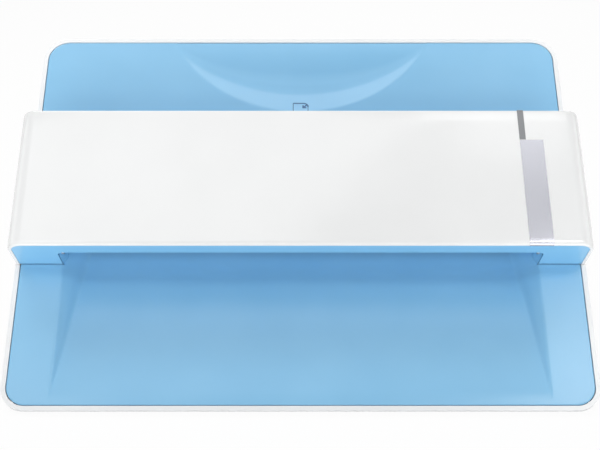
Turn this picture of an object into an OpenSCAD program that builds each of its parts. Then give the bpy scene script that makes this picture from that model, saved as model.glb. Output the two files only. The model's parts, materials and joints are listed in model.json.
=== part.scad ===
// Sheet-fed photo scanner with a leaning paper path and a hinged front cover.
// Lengths in millimetres, +Z up, front towards -Y, origin under the middle of the feet.
// Most pieces are drawn in the path's own frame: x across, s up the path, t out towards the user.

/* [Body] */
// Width of the whole scanner
body_w = 290; // [270:1:320]
// Lean of the paper path from the table
slope = 46.7; // [45:0.1:48.5]
// Wall of the white housing, which is also the width of its rim
wall = 2.3; // [1.8:0.1:2.8]
// Height of the upright lip at the front
lip_h = 1.4; // [1.2:0.1:3]
// Thickness of the housing along its top edge
top_edge = 7.7; // [7:0.1:14]
// Radius of the two front corners
front_r = 12; // [8:0.5:18]
// Radius of the two top corners
top_r = 14; // [8:0.5:20]
// Radius of the upright rear corners
back_r = 10; // [6:0.5:16]
// Radius of the long edge along the top of the back
edge_r = 6; // [3:0.5:8]
// Height of the rubber feet under the housing
foot_h = 1.5; // [1:0.1:3]
// Diameter of a rubber foot
foot_d = 13; // [8:0.5:18]
// Thickness of the base plate
base_t = 2.4; // [2:0.1:3]

/* [Tray] */
// Length of the tray, from its front edge to the fold under the cover
tray_len = 73.5; // [66:0.5:82]
// Thickness of the blue mouldings
liner_t = 1.8; // [1.5:0.1:2.4]
// Width of the flat part of the tray on each side of the mouth
side_w = 24; // [20:0.5:28]
// Distance from the tray's front edge to the start of the ramp
ramp_start = 5; // [4:0.5:12]
// Depth of the ramp at its inner end
ramp_depth = 10; // [9:0.5:12]
// How far each side wall of the ramp leans in, for each millimetre of depth
ramp_draft = 0.6; // [0.4:0.05:0.8]

/* [Cover] */
// Length of the cover along the path
cover_len = 76.5; // [74:0.5:84]
// Height of the cover's face over the tray
cover_h = 24.5; // [23:0.5:28]
// Wall of the cover
cover_wall = 2.3; // [1.8:0.1:2.6]
// Radius of the cover's long side edges
cover_r = 8; // [6:0.5:10]
// Height of the blue strip over the mouth
strip_h = 10; // [8:0.5:12]
// Distance of the hinge axis behind the fold
hinge_in = 3.4; // [3.2:0.1:4]
// Height of the hinge axis over the tray
hinge_t = 9; // [8:0.5:10]
// Diameter of a hinge pin
hinge_d = 3; // [2.5:0.1:3.4]

/* [Trim] */
// Distance of the trim's right edge from the right side of the cover
trim_in = 21; // [14:0.5:40]
// Width of the silver plate
trim_w = 12; // [8:0.5:16]
// Width of the status window
window_w = 3.2; // [2:0.1:6]
// Length of the status window
window_len = 17.5; // [10:0.5:24]

/* [Feed panel] */
// Length of the panel over the cover, with the housing's rim
panel_len = 66; // [60:0.5:80]
// Depth of the panel under the plane of the tray
panel_drop = 6.5; // [6:0.1:8]
// Radius of the scoop's outline
scoop_r = 84; // [70:1:95]
// Height of the scoop along the panel
scoop_h = 39; // [28:0.5:42]
// Depth of the scoop at its upper edge
scoop_depth = 6.5; // [4:0.5:7]
// Distance between the scoop and the panel's upper edge
scoop_gap = 3.5; // [3:0.5:6]
// Widest sheet that the width guide is set for
sheet_w = 216; // [200:1:220]
// Travel of the width guide
guide_travel = 140; // [80:1:150]

/* [Rollers] */
// Diameter of the driven rubber rollers
roller_d = 14; // [13:0.5:15]
// Length of one roller
roller_len = 18; // [12:1:22]
// Diameter of the driven shafts
shaft_d = 6; // [5:0.5:6.5]
// Diameter of the pinch rollers
pinch_d = 13; // [12:0.5:14]
// Diameter of the pinch axles
pinch_axle_d = 4; // [3:0.5:4]
// Distance from the fold to the exit shaft
exit_in = 22; // [21.5:0.5:23]
// Distance from the feed shaft to the upper end of the cover
feed_in = 20.5; // [19:0.5:23]
// Travel of a pinch set against its springs
pinch_travel = 0.8; // [0.4:0.1:1]

/* [Gears] */
// Tooth module
tooth = 0.8; // [0.7:0.05:0.85]
// Teeth of the gears on the two shafts
roller_z = 30; // [28:1:30]
// Teeth of the transfer gear between the shafts, at least
transfer_z = 18; // [18:1:20]
// Teeth of the reduction gear's small wheel
small_z = 18; // [18:1:20]
// Teeth of the reduction gear's large wheel
large_z = 45; // [40:1:46]
// Teeth of the motor pinion
pinion_z = 18; // [17:1:20]
// Width of a gear
gear_w = 4.5; // [3:0.5:5]
// Diameter of the motor
motor_d = 30; // [24:1:32]
// Length of the motor
motor_len = 20; // [14:1:24]

/* [Back] */
// Diameter of the power button
button_d = 10; // [7:0.5:14]
// Travel of the power button
button_travel = 2; // [1:0.1:2.5]
// Width of the main board
board_w = 130; // [110:1:150]
// Height of the main board
board_h = 46; // [36:1:50]

/* [Fits] */
// Parting gap between neighbouring mouldings
seam = 0.4; // [0.3:0.05:0.5]
// Clearance round a turning shaft or pin
run_gap = 0.05; // [0.03:0.01:0.08]
// Clearance of a pressed or bonded seat
seat_gap = 0.02; // [0.01:0.01:0.04]
// Clearance of a piece that slides
slide_gap = 0.3; // [0.2:0.05:0.4]
// Gap between a pinch roller and its driven roller
nip_gap = 0.3; // [0.3:0.05:0.5]

/* [Hidden] */
$fn = 96;

white = "#f4f4f4";
blue = "#8cc6e8";
black = "#26282b";
steel = "#b9bcc0";
rubber = "#3a3b3d";
nylon = "#e6e3da";
board_green = "#2f6b4a";
chip_black = "#202224";

// Places along the path
fold = tray_len;
cover_end = fold + cover_len;
path_len = cover_end + panel_len;
path_t = -panel_drop;
exit_s = fold + exit_in;
feed_s = cover_end - feed_in;
shaft_gap = feed_s - exit_s;
scan_s = exit_s + shaft_gap / 2;
hinge_s = fold + hinge_in;

// Frame of the path in the room
path_y = -(path_len * cos(slope) + (panel_drop + top_edge) * sin(slope) - wall * cos(slope)) / 2;
path_z = foot_h + lip_h + wall * sin(slope);
front_y = path_y - wall * cos(slope);
back_y = -front_y;
base_top = foot_h + base_t;
half_w = body_w / 2;
inner_x = half_w - wall;
reach = body_w + path_len;

// Places across the path
mouth_x = half_w - side_w;
trim_x = half_w - trim_in - trim_w;
cheek_t = 2;
cheek_x = mouth_x - seam;
ceiling_x = cheek_x - cheek_t - seam;
plate_t = 1.5;
plate_x = mouth_x + plate_t;
plate_out = plate_x + plate_t;
bush_flange = 1;
gear_x = plate_out + bush_flange + 1;
wheel_x = gear_x + gear_w + 1.5;

// Heights under and over the path
bed_t = 2.5;
bed_lead = 12.4;
bed_tail = 6.9;
bed_start = fold + bed_lead;
bed_end = cover_end - bed_tail;
bed_low = path_t - bed_t;
tub_end = bed_start - seam;
roller_proud = 0.4;
shaft_t = path_t + roller_proud - roller_d / 2;
pinch_t = path_t + roller_proud + nip_gap + pinch_d / 2;
sill = 0.8;
cover_low = 0.2;
cover_in_t = cover_h - cover_wall;
cover_in_x = half_w - cover_wall - seam;
inner_t = 2.2;
// The inner moulding's end wall fits into a rebate, so that the cover's lower lip looks thin
lip_wall = 1.2;
strip_lift = cover_wall - lip_wall;
end_gap = 0.3;
mouth_t = cover_h - strip_h;
ceiling_t = path_t + 2.6;
ceiling_thick = 2;
ceiling_top = ceiling_t + ceiling_thick;
entry_t = 6;
nose_s = fold + end_gap + inner_t;
tail_s = cover_end - end_gap - inner_t;

// Lips of the housing behind the cover's parting line
lip_t = 2;
lip_rise = 2.5;
lip_start = fold + 14;

// Rollers along each shaft
block_in = 13;
block_x = mouth_x - block_in;
roller_in = 18;
roller_x = block_x - roller_in;
roller_at = [for (k = [-1, -1 / 3, 1 / 3, 1]) k * roller_x];
block = [6, 8.8, 9];
tower_t = pinch_t + block[2] / 2 + 6.3;
screw_d = 2.5;
head_d = 5;
head_h = 1.2;

// Gear train: each centre lies at the sum of the pitch radii from the one before it
function pitch_r(z) = tooth * z / 2;
function turned(p, r, a) = [p[0] + r * cos(a), p[1] + r * sin(a)];
function heading(p, q) = atan2(q[1] - p[1], q[0] - p[0]);
exit_c = [exit_s, shaft_t];
feed_c = [feed_s, shaft_t];
// The transfer gear has as many teeth as it takes to bridge the shafts from below
transfer_drop = 6;
transfer_least = ceil(2 * norm([shaft_gap / 2, transfer_drop]) / tooth - roller_z);
transfer_teeth = max(transfer_z, transfer_least);
transfer_reach = pitch_r(roller_z) + pitch_r(transfer_teeth);
transfer_c = [scan_s, shaft_t - sqrt(pow(transfer_reach, 2) - pow(shaft_gap / 2, 2))];
reduction_c = turned(exit_c, pitch_r(roller_z) + pitch_r(small_z), 225);
motor_c = turned(reduction_c, pitch_r(large_z) + pitch_r(pinion_z), 180);
axle_d = 4;
motor_shaft_d = 3;
tooth_play = 0.15;

// Turn that sets wheel k in mesh with wheel j, which lies turned by turn_j, in direction a from j to k
function mesh_turn(turn_j, z_j, z_k, a) = a + 180 - (z_j * (turn_j - a) + 180) / z_k;
feed_turn = 0;
transfer_turn = mesh_turn(feed_turn, roller_z, transfer_teeth, heading(feed_c, transfer_c));
exit_turn = mesh_turn(transfer_turn, transfer_teeth, roller_z, heading(transfer_c, exit_c));
small_turn = mesh_turn(exit_turn, roller_z, small_z, heading(exit_c, reduction_c));
large_turn = 0;
pinion_turn = mesh_turn(large_turn, large_z, pinion_z, heading(reduction_c, motor_c));

// Thickness of the circuit boards
board_t = 1.6;

// Optics under the bed
optics_in = 9;
optics_x = mouth_x - optics_in;
optics_wall = 2;
// The neck takes this share of the room between the two rollers, to each side of its middle
neck_share = 0.35;
neck_half = neck_share * (shaft_gap - roller_d);
box_top = -24;
box_low = -56;
box_lead = 1.4;
box_tail = 2.6;
box_start = bed_start - box_lead;
box_end = bed_end - box_tail;
sensor_s = box_end - optics_wall;
beam_t = -34;
lens_d = 14;
lens_len = 16;
sensor_w = 90;
sensor_down = 15;
sensor_up = 5;
chip_t = 3;
chip_w = 56;
chip_down = 5;
chip_up = 4;
lens_gap = 2.4;
lens_s = sensor_s - board_t - chip_t - lens_gap - lens_len / 2;
mirror_size = [13, 2];
mirror_low_t = -47;
mirror_back_s = box_start + 9;
ribbon_t = 0.4;
ribbon_w = 24;
ribbon_x = -20;
ribbon_out = beam_t - 6;
glass_w = 2 * neck_half;
glass_t = 2;
glass_x = optics_x + 1;
strip_in = 1.4;
strip_half = neck_half - strip_in;
strip_flange = 1.2;
strip_edge = strip_half + strip_flange;

// Back panel electronics
board_y = back_y - wall - 12;
board_low = base_top + 8;
board_x = 5;
ribbon_end = board_low + board_h - 12;
usb_at = [-25, 30];
jack_at = [5, 30];
button_at = [45, 30];
post_d = 6;
post_inset = 5;
boss_d = 8;
boss_h = 16;
boss_front_y = front_y + 32;

// World place of a point of the path's frame
function at(s, t) = [path_y + s * cos(slope) - t * sin(slope), path_z + s * sin(slope) + t * cos(slope)];
function unit(v) = v / norm(v);

module on_slope() translate([0, path_y, path_z]) rotate([slope, 0, 0]) children();
// Profile in the plane across x, drawn out along x over a width w about x
module across(w, x = 0) translate([x - w / 2, 0, 0]) rotate([90, 0, 90]) linear_extrude(w) children();
// Profile in the plane of x and t, drawn out up the path from s
module along(len, s) translate([0, s + len, 0]) rotate([90, 0, 0]) linear_extrude(len) children();
// Round bar along x from x0 to x1
module bar(d, x0, x1) translate([x0, 0, 0]) rotate([0, 90, 0]) cylinder(d = d, h = x1 - x0);
// Block between two corners
module block_between(a, b) translate(a) cube(b - a);
module both_sides() for (m = [0, 1]) mirror([m, 0, 0]) children();

// Waste of a corner at p between the directions u and v, which a radius r rounds off
module corner_waste(p, u, v, r) {
  half = acos(u * v) / 2;
  run = r / tan(half);
  centre = p + unit(u + v) * r / sin(half);
  difference() {
    polygon([p + u * run, centre, p + v * run, p - u - v]);
    translate(centre) circle(r);
  }
}

// Outline of the front as seen square on to the path, drawn in by inset
module slope_outline(inset) {
  w = half_w - inset;
  low = -wall + inset;
  high = path_len - inset;
  rf = front_r - inset;
  rt = top_r - inset;
  translate([-w, low + rf]) square([2 * w, high - low - rf - rt]);
  translate([-w + rf, low]) square([2 * (w - rf), 2 * rf]);
  translate([-w + rt, high - 2 * rt]) square([2 * (w - rt), 2 * rt]);
  for (m = [-1, 1]) {
    translate([m * (w - rf), low + rf]) circle(rf);
    translate([m * (w - rt), high - rt]) circle(rt);
  }
}

// Outline from above, with round rear corners, drawn in by inset
module plan_outline(inset) {
  w = half_w - inset;
  r = back_r - inset;
  translate([-w, front_y]) square([2 * w, back_y - front_y - inset - r]);
  translate([-w + r, front_y]) square([2 * (w - r), back_y - front_y - inset]);
  for (m = [-1, 1]) translate([m * (w - r), back_y - inset - r]) circle(r);
}

// Side view of the housing
module side_outline() {
  top_back = at(path_len, path_t - top_edge);
  difference() {
    polygon([[front_y, foot_h], at(-wall, 0), at(fold, 0), at(fold, -sill), at(cover_end, -sill),
      at(cover_end, path_t), at(path_len, path_t), top_back, [back_y, foot_h]]);
    corner_waste(top_back, [0, -1], unit(at(path_len, path_t) - top_back), edge_r);
  }
}

// Space inside the housing, inset from its outer faces, open to the front and below
module inner_space(inset) intersection() {
  translate([0, 0, foot_h - 1]) linear_extrude(reach) plan_outline(inset);
  on_slope() translate([0, 0, -reach / 2]) linear_extrude(reach) slope_outline(inset);
}

// Places of the screws that hold the base plate
boss_in = boss_d / 2 - 0.5;
function boss_places() = [for (m = [-1, 1], p = [[inner_x - boss_in, boss_front_y],
  [half_w - back_r - boss_d, back_y - wall - boss_in]]) [m * p[0], p[1]]];
function post_places() = [for (m = [-1, 1], z = [board_low + post_inset, board_low + board_h - post_inset])
  [board_x + m * (board_w / 2 - post_inset), z]];

// Openings in the back for the sockets and the button
module back_openings() {
  depth = 3 * wall;
  translate([0, back_y + wall, 0]) rotate([90, 0, 0]) linear_extrude(depth) {
    translate(usb_at) square([12.6, 11.4], center = true);
    translate(jack_at) circle(d = 9);
    translate(button_at) circle(d = button_d + 2 * slide_gap);
  }
}

module main_housing() color(white) difference() {
  union() {
    difference() {
      intersection() {
        across(body_w) side_outline();
        translate([0, 0, foot_h]) linear_extrude(reach) plan_outline(0);
        on_slope() translate([0, 0, -reach / 2]) linear_extrude(reach) slope_outline(0);
      }
      inner_space(wall);
    }
    // tabs that carry the two blue mouldings
    on_slope() both_sides() {
      for (s = [15, 0.55 * tray_len, tray_len - 12]) liner_tab(s, -liner_t);
      for (s = [cover_end + 12, path_len - 28, path_len - 14]) liner_tab(s, path_t - liner_t);
    }
    // lips behind the parting line of the cover
    on_slope() both_sides() {
      block_between([inner_x - lip_t, lip_start, -lip_rise - 2 * sill],
        [inner_x + wall / 2, tail_s - 1, -sill]);
      block_between([inner_x - lip_t, lip_start, -2 * sill], [inner_x - seam, tail_s - 1, lip_rise]);
    }
    for (p = boss_places()) translate([p[0], p[1], base_top]) cylinder(d = boss_d, h = boss_h);
    for (p = post_places()) translate([p[0], board_y, p[1]]) rotate([-90, 0, 0])
      cylinder(d = post_d, h = back_y - wall / 2 - board_y);
  }
  for (p = boss_places()) translate([p[0], p[1], base_top - 1])
    cylinder(d = screw_d + 2 * seat_gap, h = boss_h - 2);
  for (p = post_places()) translate([p[0], board_y - 1, p[1]]) rotate([-90, 0, 0])
    cylinder(d = screw_d + 2 * seat_gap, h = 9);
  back_openings();
}

module liner_tab(s, t) block_between([inner_x - 4, s - 4, t - 3], [inner_x + wall / 2, s + 4, t]);

// Feet stand in shallow pockets under the base plate
foot_places = [for (m = [-1, 1], y = [front_y + 22, back_y - 18]) [m * (inner_x - 24), y]];
foot_sunk = 1;
plate_foot = 10;
plate_back_y = at(bed_end, bed_low)[0] + 12;
plate_front_y = at(motor_c[0], motor_c[1])[0] - motor_d / 2 - 9;
chassis_screw_y = [plate_front_y + 6, plate_back_y - 6];

module base_plate() color(white) difference() {
  union() {
    intersection() {
      inner_space(wall + seam);
      translate([-half_w, front_y, foot_h]) cube([body_w, back_y - front_y, base_t]);
    }
    // stiffening ribs between the side plates
    for (y = [plate_front_y, plate_back_y]) translate([-plate_x + 2 * plate_foot, y - 1, base_top - 0.5])
      cube([2 * (plate_x - 2 * plate_foot), 2, 4.5]);
  }
  on_slope() block_between([-half_w, -2 * wall, -liner_t - seam], [half_w, tray_len / 2, base_t]);
  for (p = foot_places) translate([p[0], p[1], 0])
    cylinder(d = foot_d + 2 * seat_gap, h = foot_h + foot_sunk);
  for (p = boss_places()) translate([p[0], p[1], 0]) {
    cylinder(d = screw_d + 0.5, h = base_top + 1);
    cylinder(d = head_d + 0.4, h = foot_h + head_h + 0.1);
  }
  for (m = [-1, 1], y = chassis_screw_y) translate([m * (plate_x - plate_foot / 2), y, foot_h + 0.6])
    cylinder(d = screw_d + 2 * seat_gap, h = base_t);
}

module rubber_feet() color(rubber) for (p = foot_places) translate([p[0], p[1], 0]) difference() {
  cylinder(d = foot_d, h = foot_h + foot_sunk);
  translate([0, 0, -0.1]) cylinder(d = foot_d / 2, h = 0.6);
}

// Screw with its head at the origin and its shank along +Z
module screw(len) {
  difference() {
    cylinder(d = head_d, h = head_h);
    translate([0, 0, -0.01]) cylinder(d = 2.6, h = 0.7, $fn = 6);
  }
  translate([0, 0, head_h - 0.01]) cylinder(d = screw_d, h = len);
}

module base_screws() color(steel) for (p = boss_places()) translate([p[0], p[1], foot_h + 0.1]) screw(10);

// Ramp of the tray: grow 0 is the hollow, grow liner_t the outside of the moulding round it
module ramp_space(grow, top_in, top_out) intersection() {
  side = mouth_x + grow * sqrt(1 + pow(ramp_draft, 2));
  deep = ramp_depth + grow;
  end = tub_end + (grow == 0 ? 1 : 0);
  across(body_w) polygon([[ramp_start, -grow], [tub_end, -deep], [end, -deep], [end, top_in],
    [fold, top_in], [fold, top_out], [ramp_start, top_out]]);
  along(end, 0) polygon([[-side + ramp_draft * deep, -deep], [side - ramp_draft * deep, -deep],
    [side + ramp_draft * deep, deep], [-side - ramp_draft * deep, deep]]);
}

module tray_liner() color(blue) on_slope() difference() {
  union() {
    difference() {
      union() {
        intersection() {
          translate([0, 0, -liner_t]) linear_extrude(liner_t) slope_outline(wall + seam);
          translate([-half_w, 0, -liner_t]) cube([body_w, fold, liner_t]);
        }
        ramp_space(liner_t, -sill - 0.2, 0);
      }
      ramp_space(0, 3, 3);
    }
    both_sides() across(cheek_t, cheek_x - cheek_t / 2) hinge_cheek();
  }
  both_sides() translate([0, hinge_s, hinge_t]) bar(hinge_d + 2 * seat_gap, ceiling_x, mouth_x);
}

// Upright ear beside the mouth that holds a hinge pin
module hinge_cheek() {
  r = hinge_in - seam;
  translate([hinge_s - r, -ramp_depth]) square([2 * r, ramp_depth + hinge_t]);
  translate([hinge_s, -ramp_depth]) square([2 * r - r / 2, ramp_depth]);
  translate([hinge_s, hinge_t]) circle(r);
}

pin_end = mouth_x + 6;
module hinge_pins() color(steel) on_slope() both_sides() translate([0, hinge_s, hinge_t])
  bar(hinge_d, cheek_x - cheek_t, pin_end);

// Shallow spherical scoop for the thumb, closed above by a leaning lip
scoop_top = path_len - wall - seam - scoop_gap;
scoop_mid = scoop_top + scoop_r - scoop_h;
scoop_sphere = (pow(scoop_r, 2) - pow(scoop_r - scoop_h, 2)) / (2 * scoop_depth);
scoop_centre_t = path_t + sqrt(pow(scoop_sphere, 2) - pow(scoop_r, 2));
module scoop_space(grow) intersection() {
  translate([0, scoop_mid, scoop_centre_t]) sphere(scoop_sphere + grow, $fn = 200);
  low_end = scoop_top - scoop_h - 3 * grow;
  across(body_w) polygon([[low_end, path_t + 1 - grow], [scoop_top + 1 + grow, path_t + 1 - grow],
    [scoop_top + grow, path_t - grow], [scoop_top - scoop_depth + grow, path_t - 2 * scoop_depth],
    [low_end, path_t - 2 * scoop_depth]]);
}

guide_x = sheet_w / 2;
guide_s = cover_end + 5.5;
guide_w = 12;
guide_slot = 3;
panel_start = bed_end + seam;
module feed_panel() color(blue) on_slope() difference() {
  union() {
    intersection() {
      translate([0, 0, path_t - liner_t]) linear_extrude(liner_t) slope_outline(wall + seam);
      translate([-half_w, panel_start, path_t - liner_t]) cube([body_w, path_len, liner_t]);
    }
    scoop_space(liner_t);
  }
  scoop_space(0);
  block_between([guide_x - guide_travel - 1, guide_s - guide_slot / 2, path_t - 2 * liner_t],
    [guide_x + guide_w + 1, guide_s + guide_slot / 2, path_t + 1]);
}

// Fence that slides along the slot, held by a foot under the panel
module width_guide() color(blue) on_slope() {
  fence = 2;
  stem = guide_slot - 2 * slide_gap;
  along(8, guide_s - 4) polygon([[guide_x, path_t + slide_gap], [guide_x + guide_w, path_t + slide_gap],
    [guide_x + guide_w, path_t + 2.2], [guide_x + guide_w / 2, path_t + 2.8], [guide_x + fence, path_t + 9],
    [guide_x, path_t + 9]]);
  block_between([guide_x + 1, guide_s - stem / 2, path_t - liner_t - slide_gap - 0.5],
    [guide_x + guide_w - 1, guide_s + stem / 2, path_t + slide_gap + 0.5]);
  block_between([guide_x + 1, guide_s - guide_slot, path_t - liner_t - slide_gap - 1.5],
    [guide_x + guide_w - 1, guide_s + guide_slot, path_t - liner_t - slide_gap]);
}

flag_s = bed_end - 6.1;
flag_t = path_t - 7.5;
flag_pin_d = 2;
flag_half = 2;
ear_t = 1.5;
ear_x = flag_half + 0.6;
module scan_bed() color(black) on_slope() difference() {
  union() {
    block_between([-plate_out, bed_start, bed_low], [plate_out, bed_end, path_t]);
    // ears that hold the paper flag's pin
    both_sides() across(ear_t, ear_x + ear_t / 2) {
      translate([flag_s - 2.5, flag_t]) square([5, bed_low - flag_t + 0.5]);
      translate([flag_s, flag_t]) circle(2.5);
    }
  }
  for (s = [exit_s, feed_s], x = roller_at) translate([x, s, path_t])
    cube([roller_len + 2, roller_d + 1.6, 4 * bed_t], center = true);
  block_between([-glass_x - slide_gap, scan_s - glass_w / 2 - slide_gap, path_t - glass_t],
    [glass_x + slide_gap, scan_s + glass_w / 2 + slide_gap, path_t + 1]);
  block_between([-glass_x + 4, scan_s - neck_half + optics_wall, bed_low - 1],
    [glass_x - 4, scan_s + neck_half - optics_wall, path_t]);
  block_between([-ear_x + 0.2, flag_s - 8, bed_low - 1], [ear_x - 0.2, flag_s + 3, path_t + 1]);
  translate([0, flag_s, flag_t]) bar(flag_pin_d + 2 * run_gap, -ear_x - 2 * ear_t, ear_x + 2 * ear_t);
}

module paper_flag() color(black) on_slope() {
  tip = path_t + 1.6;
  across(2 * flag_half) {
    translate([flag_s, flag_t]) circle(2.5);
    polygon([[flag_s - 1.5, flag_t], [flag_s + 1.5, flag_t], [flag_s + 1, tip], [flag_s - 0.5, tip]]);
    translate([flag_s, flag_t - 1]) square([5, 2]);
  }
  translate([0, flag_s, flag_t]) bar(flag_pin_d, -ear_x - ear_t, ear_x + ear_t);
}

module flag_sensor() color(black) on_slope() difference() {
  block_between([-5, flag_s + 2.7, flag_t - 2], [5, bed_end, bed_low]);
  block_between([-flag_half - 0.6, flag_s, flag_t - 3], [flag_half + 0.6, bed_end + 1, bed_low - 1]);
}

module scan_glass() color("#cfe4ea") on_slope()
  block_between([-glass_x, scan_s - glass_w / 2, path_t - glass_t], [glass_x, scan_s + glass_w / 2, path_t]);

// Steel side of the chassis, standing on a bent foot
module side_plate(motor_side) difference() {
  union() {
    across(plate_t, plate_x + plate_t / 2) polygon([[plate_front_y, base_top],
      [plate_front_y, at(motor_c[0], motor_c[1])[1] - 2], at(bed_start, bed_low), at(bed_end, bed_low),
      [plate_back_y, base_top]]);
    block_between([plate_x - plate_foot, plate_front_y, base_top], [plate_x + plate_t / 2, plate_back_y,
      base_top + plate_t]);
  }
  for (y = chassis_screw_y) translate([plate_x - plate_foot / 2, y, base_top - 1])
    cylinder(d = screw_d + 0.5, h = plate_t + 2);
  on_slope() {
    // slots that the bushes drop into, closed by the bed
    for (c = [exit_c, feed_c]) {
      through_plate(c, bush_d);
      block_between([plate_x - 1, c[0] - bush_d / 2, c[1]], [plate_out + 1, c[0] + bush_d / 2, bed_low + 1]);
    }
    if (motor_side) {
      for (c = [transfer_c, reduction_c]) through_plate(c, axle_d + 2 * seat_gap);
      through_plate(motor_c, 8);
      for (m = [-1, 1]) through_plate(motor_c + motor_ear(m), screw_d + 0.4);
    }
  }
}
module through_plate(c, d) translate([0, c[0], c[1]]) bar(d, plate_x - 1, plate_out + 1);
function motor_ear(m) = m * (motor_d / 2 + 4) * [cos(45), -sin(45)];

module left_side_plate() color(steel) mirror([1, 0, 0]) side_plate(false);
module right_side_plate() color(steel) side_plate(true);
module chassis_screws() color(steel) for (m = [-1, 1], y = chassis_screw_y)
  translate([m * (plate_x - plate_foot / 2), y, base_top + plate_t + head_h]) rotate([180, 0, 0])
    screw(plate_t + base_t - 1);

// Bush in the side plate's slot, flange outside
bush_d = shaft_d + 2;
module shaft_bushes() color(nylon) on_slope() for (c = [exit_c, feed_c]) both_sides()
  translate([0, c[0], c[1]]) difference() {
    union() {
      bar(bush_d - 2 * seat_gap, plate_x, plate_out + bush_flange / 2);
      bar(bush_d + 3, plate_out, plate_out + bush_flange);
    }
    bar(shaft_d + 2 * run_gap, plate_x - 1, plate_out + 2);
  }

// Optics: light falls from the glass down the neck, round three mirrors and through the lens
module optics_outline(inset) {
  translate([scan_s - neck_half + inset, box_top - optics_wall - inset])
    square([2 * (neck_half - inset), bed_low - box_top + optics_wall + inset + (inset > 0 ? 1 : 0)]);
  translate([box_start + inset, box_low + inset])
    square([box_end - box_start - 2 * inset, box_top - box_low - 2 * inset]);
}
module optics_housing() color(black) on_slope() difference() {
  union() {
    difference() {
      across(2 * optics_x) optics_outline(0);
      across(2 * (optics_x - optics_wall)) optics_outline(optics_wall);
    }
    // saddle of the lens, and ears to the side plates
    block_between([-9, lens_s - lens_len / 4, box_low + 1], [9, lens_s + 6, beam_t - lens_d / 4]);
    both_sides() for (s = [box_start + 6, box_end - 6])
      block_between([optics_x - 1, s - 4, beam_t - 8], [plate_x, s + 4, beam_t - 2]);
  }
  translate([0, lens_s + lens_len / 2 + 1, beam_t]) rotate([90, 0, 0])
    cylinder(d = lens_d + 2 * seat_gap, h = lens_len + 2);
  // slot that lets the flat cable out to the back
  block_between([ribbon_x - ribbon_w / 2 - slide_gap, box_end - optics_wall - 1, ribbon_out - 1],
    [ribbon_x + ribbon_w / 2 + slide_gap, box_end + 1, ribbon_out + 1]);
}

module mirror_strip(s, t, a) translate([0, s, t]) rotate([a, 0, 0])
  cube([2 * (optics_x - optics_wall - seat_gap), mirror_size[0], mirror_size[1]], center = true);
module fold_mirrors() color("#c8d0d6") on_slope() {
  mirror_strip(scan_s, mirror_low_t, 45);
  mirror_strip(mirror_back_s, mirror_low_t, -45);
  mirror_strip(mirror_back_s, beam_t, 45);
}

module light_bar() color(nylon) on_slope() {
  end = optics_x - optics_wall - seat_gap;
  start = scan_s - neck_half + optics_wall;
  block_between([-end, start, bed_low - 5], [end, start + 3, bed_low - seam]);
}

module scan_lens() color(black) on_slope() translate([0, lens_s + lens_len / 2, beam_t]) rotate([90, 0, 0])
  difference() {
    cylinder(d = lens_d, h = lens_len);
    for (z = [-1, lens_len - 2]) translate([0, 0, z]) cylinder(d = lens_d - 4, h = 3);
  }

module sensor_board() color(board_green) on_slope()
  block_between([-sensor_w / 2, sensor_s - board_t, beam_t - sensor_down],
    [sensor_w / 2, sensor_s, beam_t + sensor_up]);
module sensor_chip() color(chip_black) on_slope()
  block_between([-chip_w / 2, sensor_s - board_t - chip_t, beam_t - chip_down],
    [chip_w / 2, sensor_s - board_t, beam_t + chip_up]);

// Flat cable that leaves the optics by the slot, turns down and ends in a plug on the main board
module sensor_ribbon() color("#e8e8ea") across(ribbon_w, ribbon_x) {
  down_y = board_y - board_t - 2 * ribbon_t;
  line = [at(sensor_s + seat_gap, ribbon_out), at(box_end + 3, ribbon_out), at(box_end + 3, box_low - 2),
    [down_y, ribbon_end + 10], [down_y, ribbon_end]];
  polygon(concat(beside(line, ribbon_t / 2), [for (i = [4 : -1 : 0]) beside(line, -ribbon_t / 2)[i]]));
}
// Points beside each point of a line, at a distance d to its left
function beside(line, d) = [for (i = [0 : len(line) - 1])
  let(u = unit(line[min(i + 1, len(line) - 1)] - line[max(i - 1, 0)])) line[i] + d * [-u[1], u[0]]];

module main_board() color(board_green) difference() {
  block_between([board_x - board_w / 2, board_y - board_t, board_low],
    [board_x + board_w / 2, board_y, board_low + board_h]);
  for (p = post_places()) translate([p[0], board_y + 1, p[1]]) rotate([90, 0, 0])
    cylinder(d = screw_d + 0.5, h = board_t + 2);
}
module board_screws() color(steel) for (p = post_places())
  translate([p[0], board_y - board_t - head_h, p[1]]) rotate([-90, 0, 0]) screw(7);
module board_chips() color(chip_black) for (c = [[-35, 8, 14, 14], [30, 10, 18, 10],
  [5, 26, 10, 10], [ribbon_x - board_x - ribbon_w / 2 - 1, board_h - 17, ribbon_w + 2, 5 - seat_gap]])
  block_between([board_x + c[0], board_y - board_t - 1.6, board_low + c[1]],
    [board_x + c[0] + c[2], board_y - board_t, board_low + c[1] + c[3]]);

module usb_socket() color(steel) difference() {
  block_between([usb_at[0] - 6, board_y, usb_at[1] - 5.4], [usb_at[0] + 6, back_y - 0.6, usb_at[1] + 5.4]);
  block_between([usb_at[0] - 4.6, back_y - 9, usb_at[1] - 4], [usb_at[0] + 4.6, back_y, usb_at[1] + 4]);
}
module power_jack() color(black) {
  difference() {
    union() {
      block_between([jack_at[0] - 5.5, board_y, jack_at[1] - 5.5],
        [jack_at[0] + 5.5, back_y - wall - 0.2, jack_at[1] + 5.5]);
      to_back(jack_at, board_y + 1, back_y - 0.6) circle(d = 8.4);
    }
    to_back(jack_at, back_y - 10, back_y + 2) circle(d = 5.6);
  }
  to_back(jack_at, board_y + 2, back_y - 2) circle(d = 1.8);
}
// Profile about a place on the back, drawn out along y from y0 to y1
module to_back(p, y0, y1) translate([p[0], y1, p[1]]) rotate([90, 0, 0]) linear_extrude(y1 - y0) children();

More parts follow.
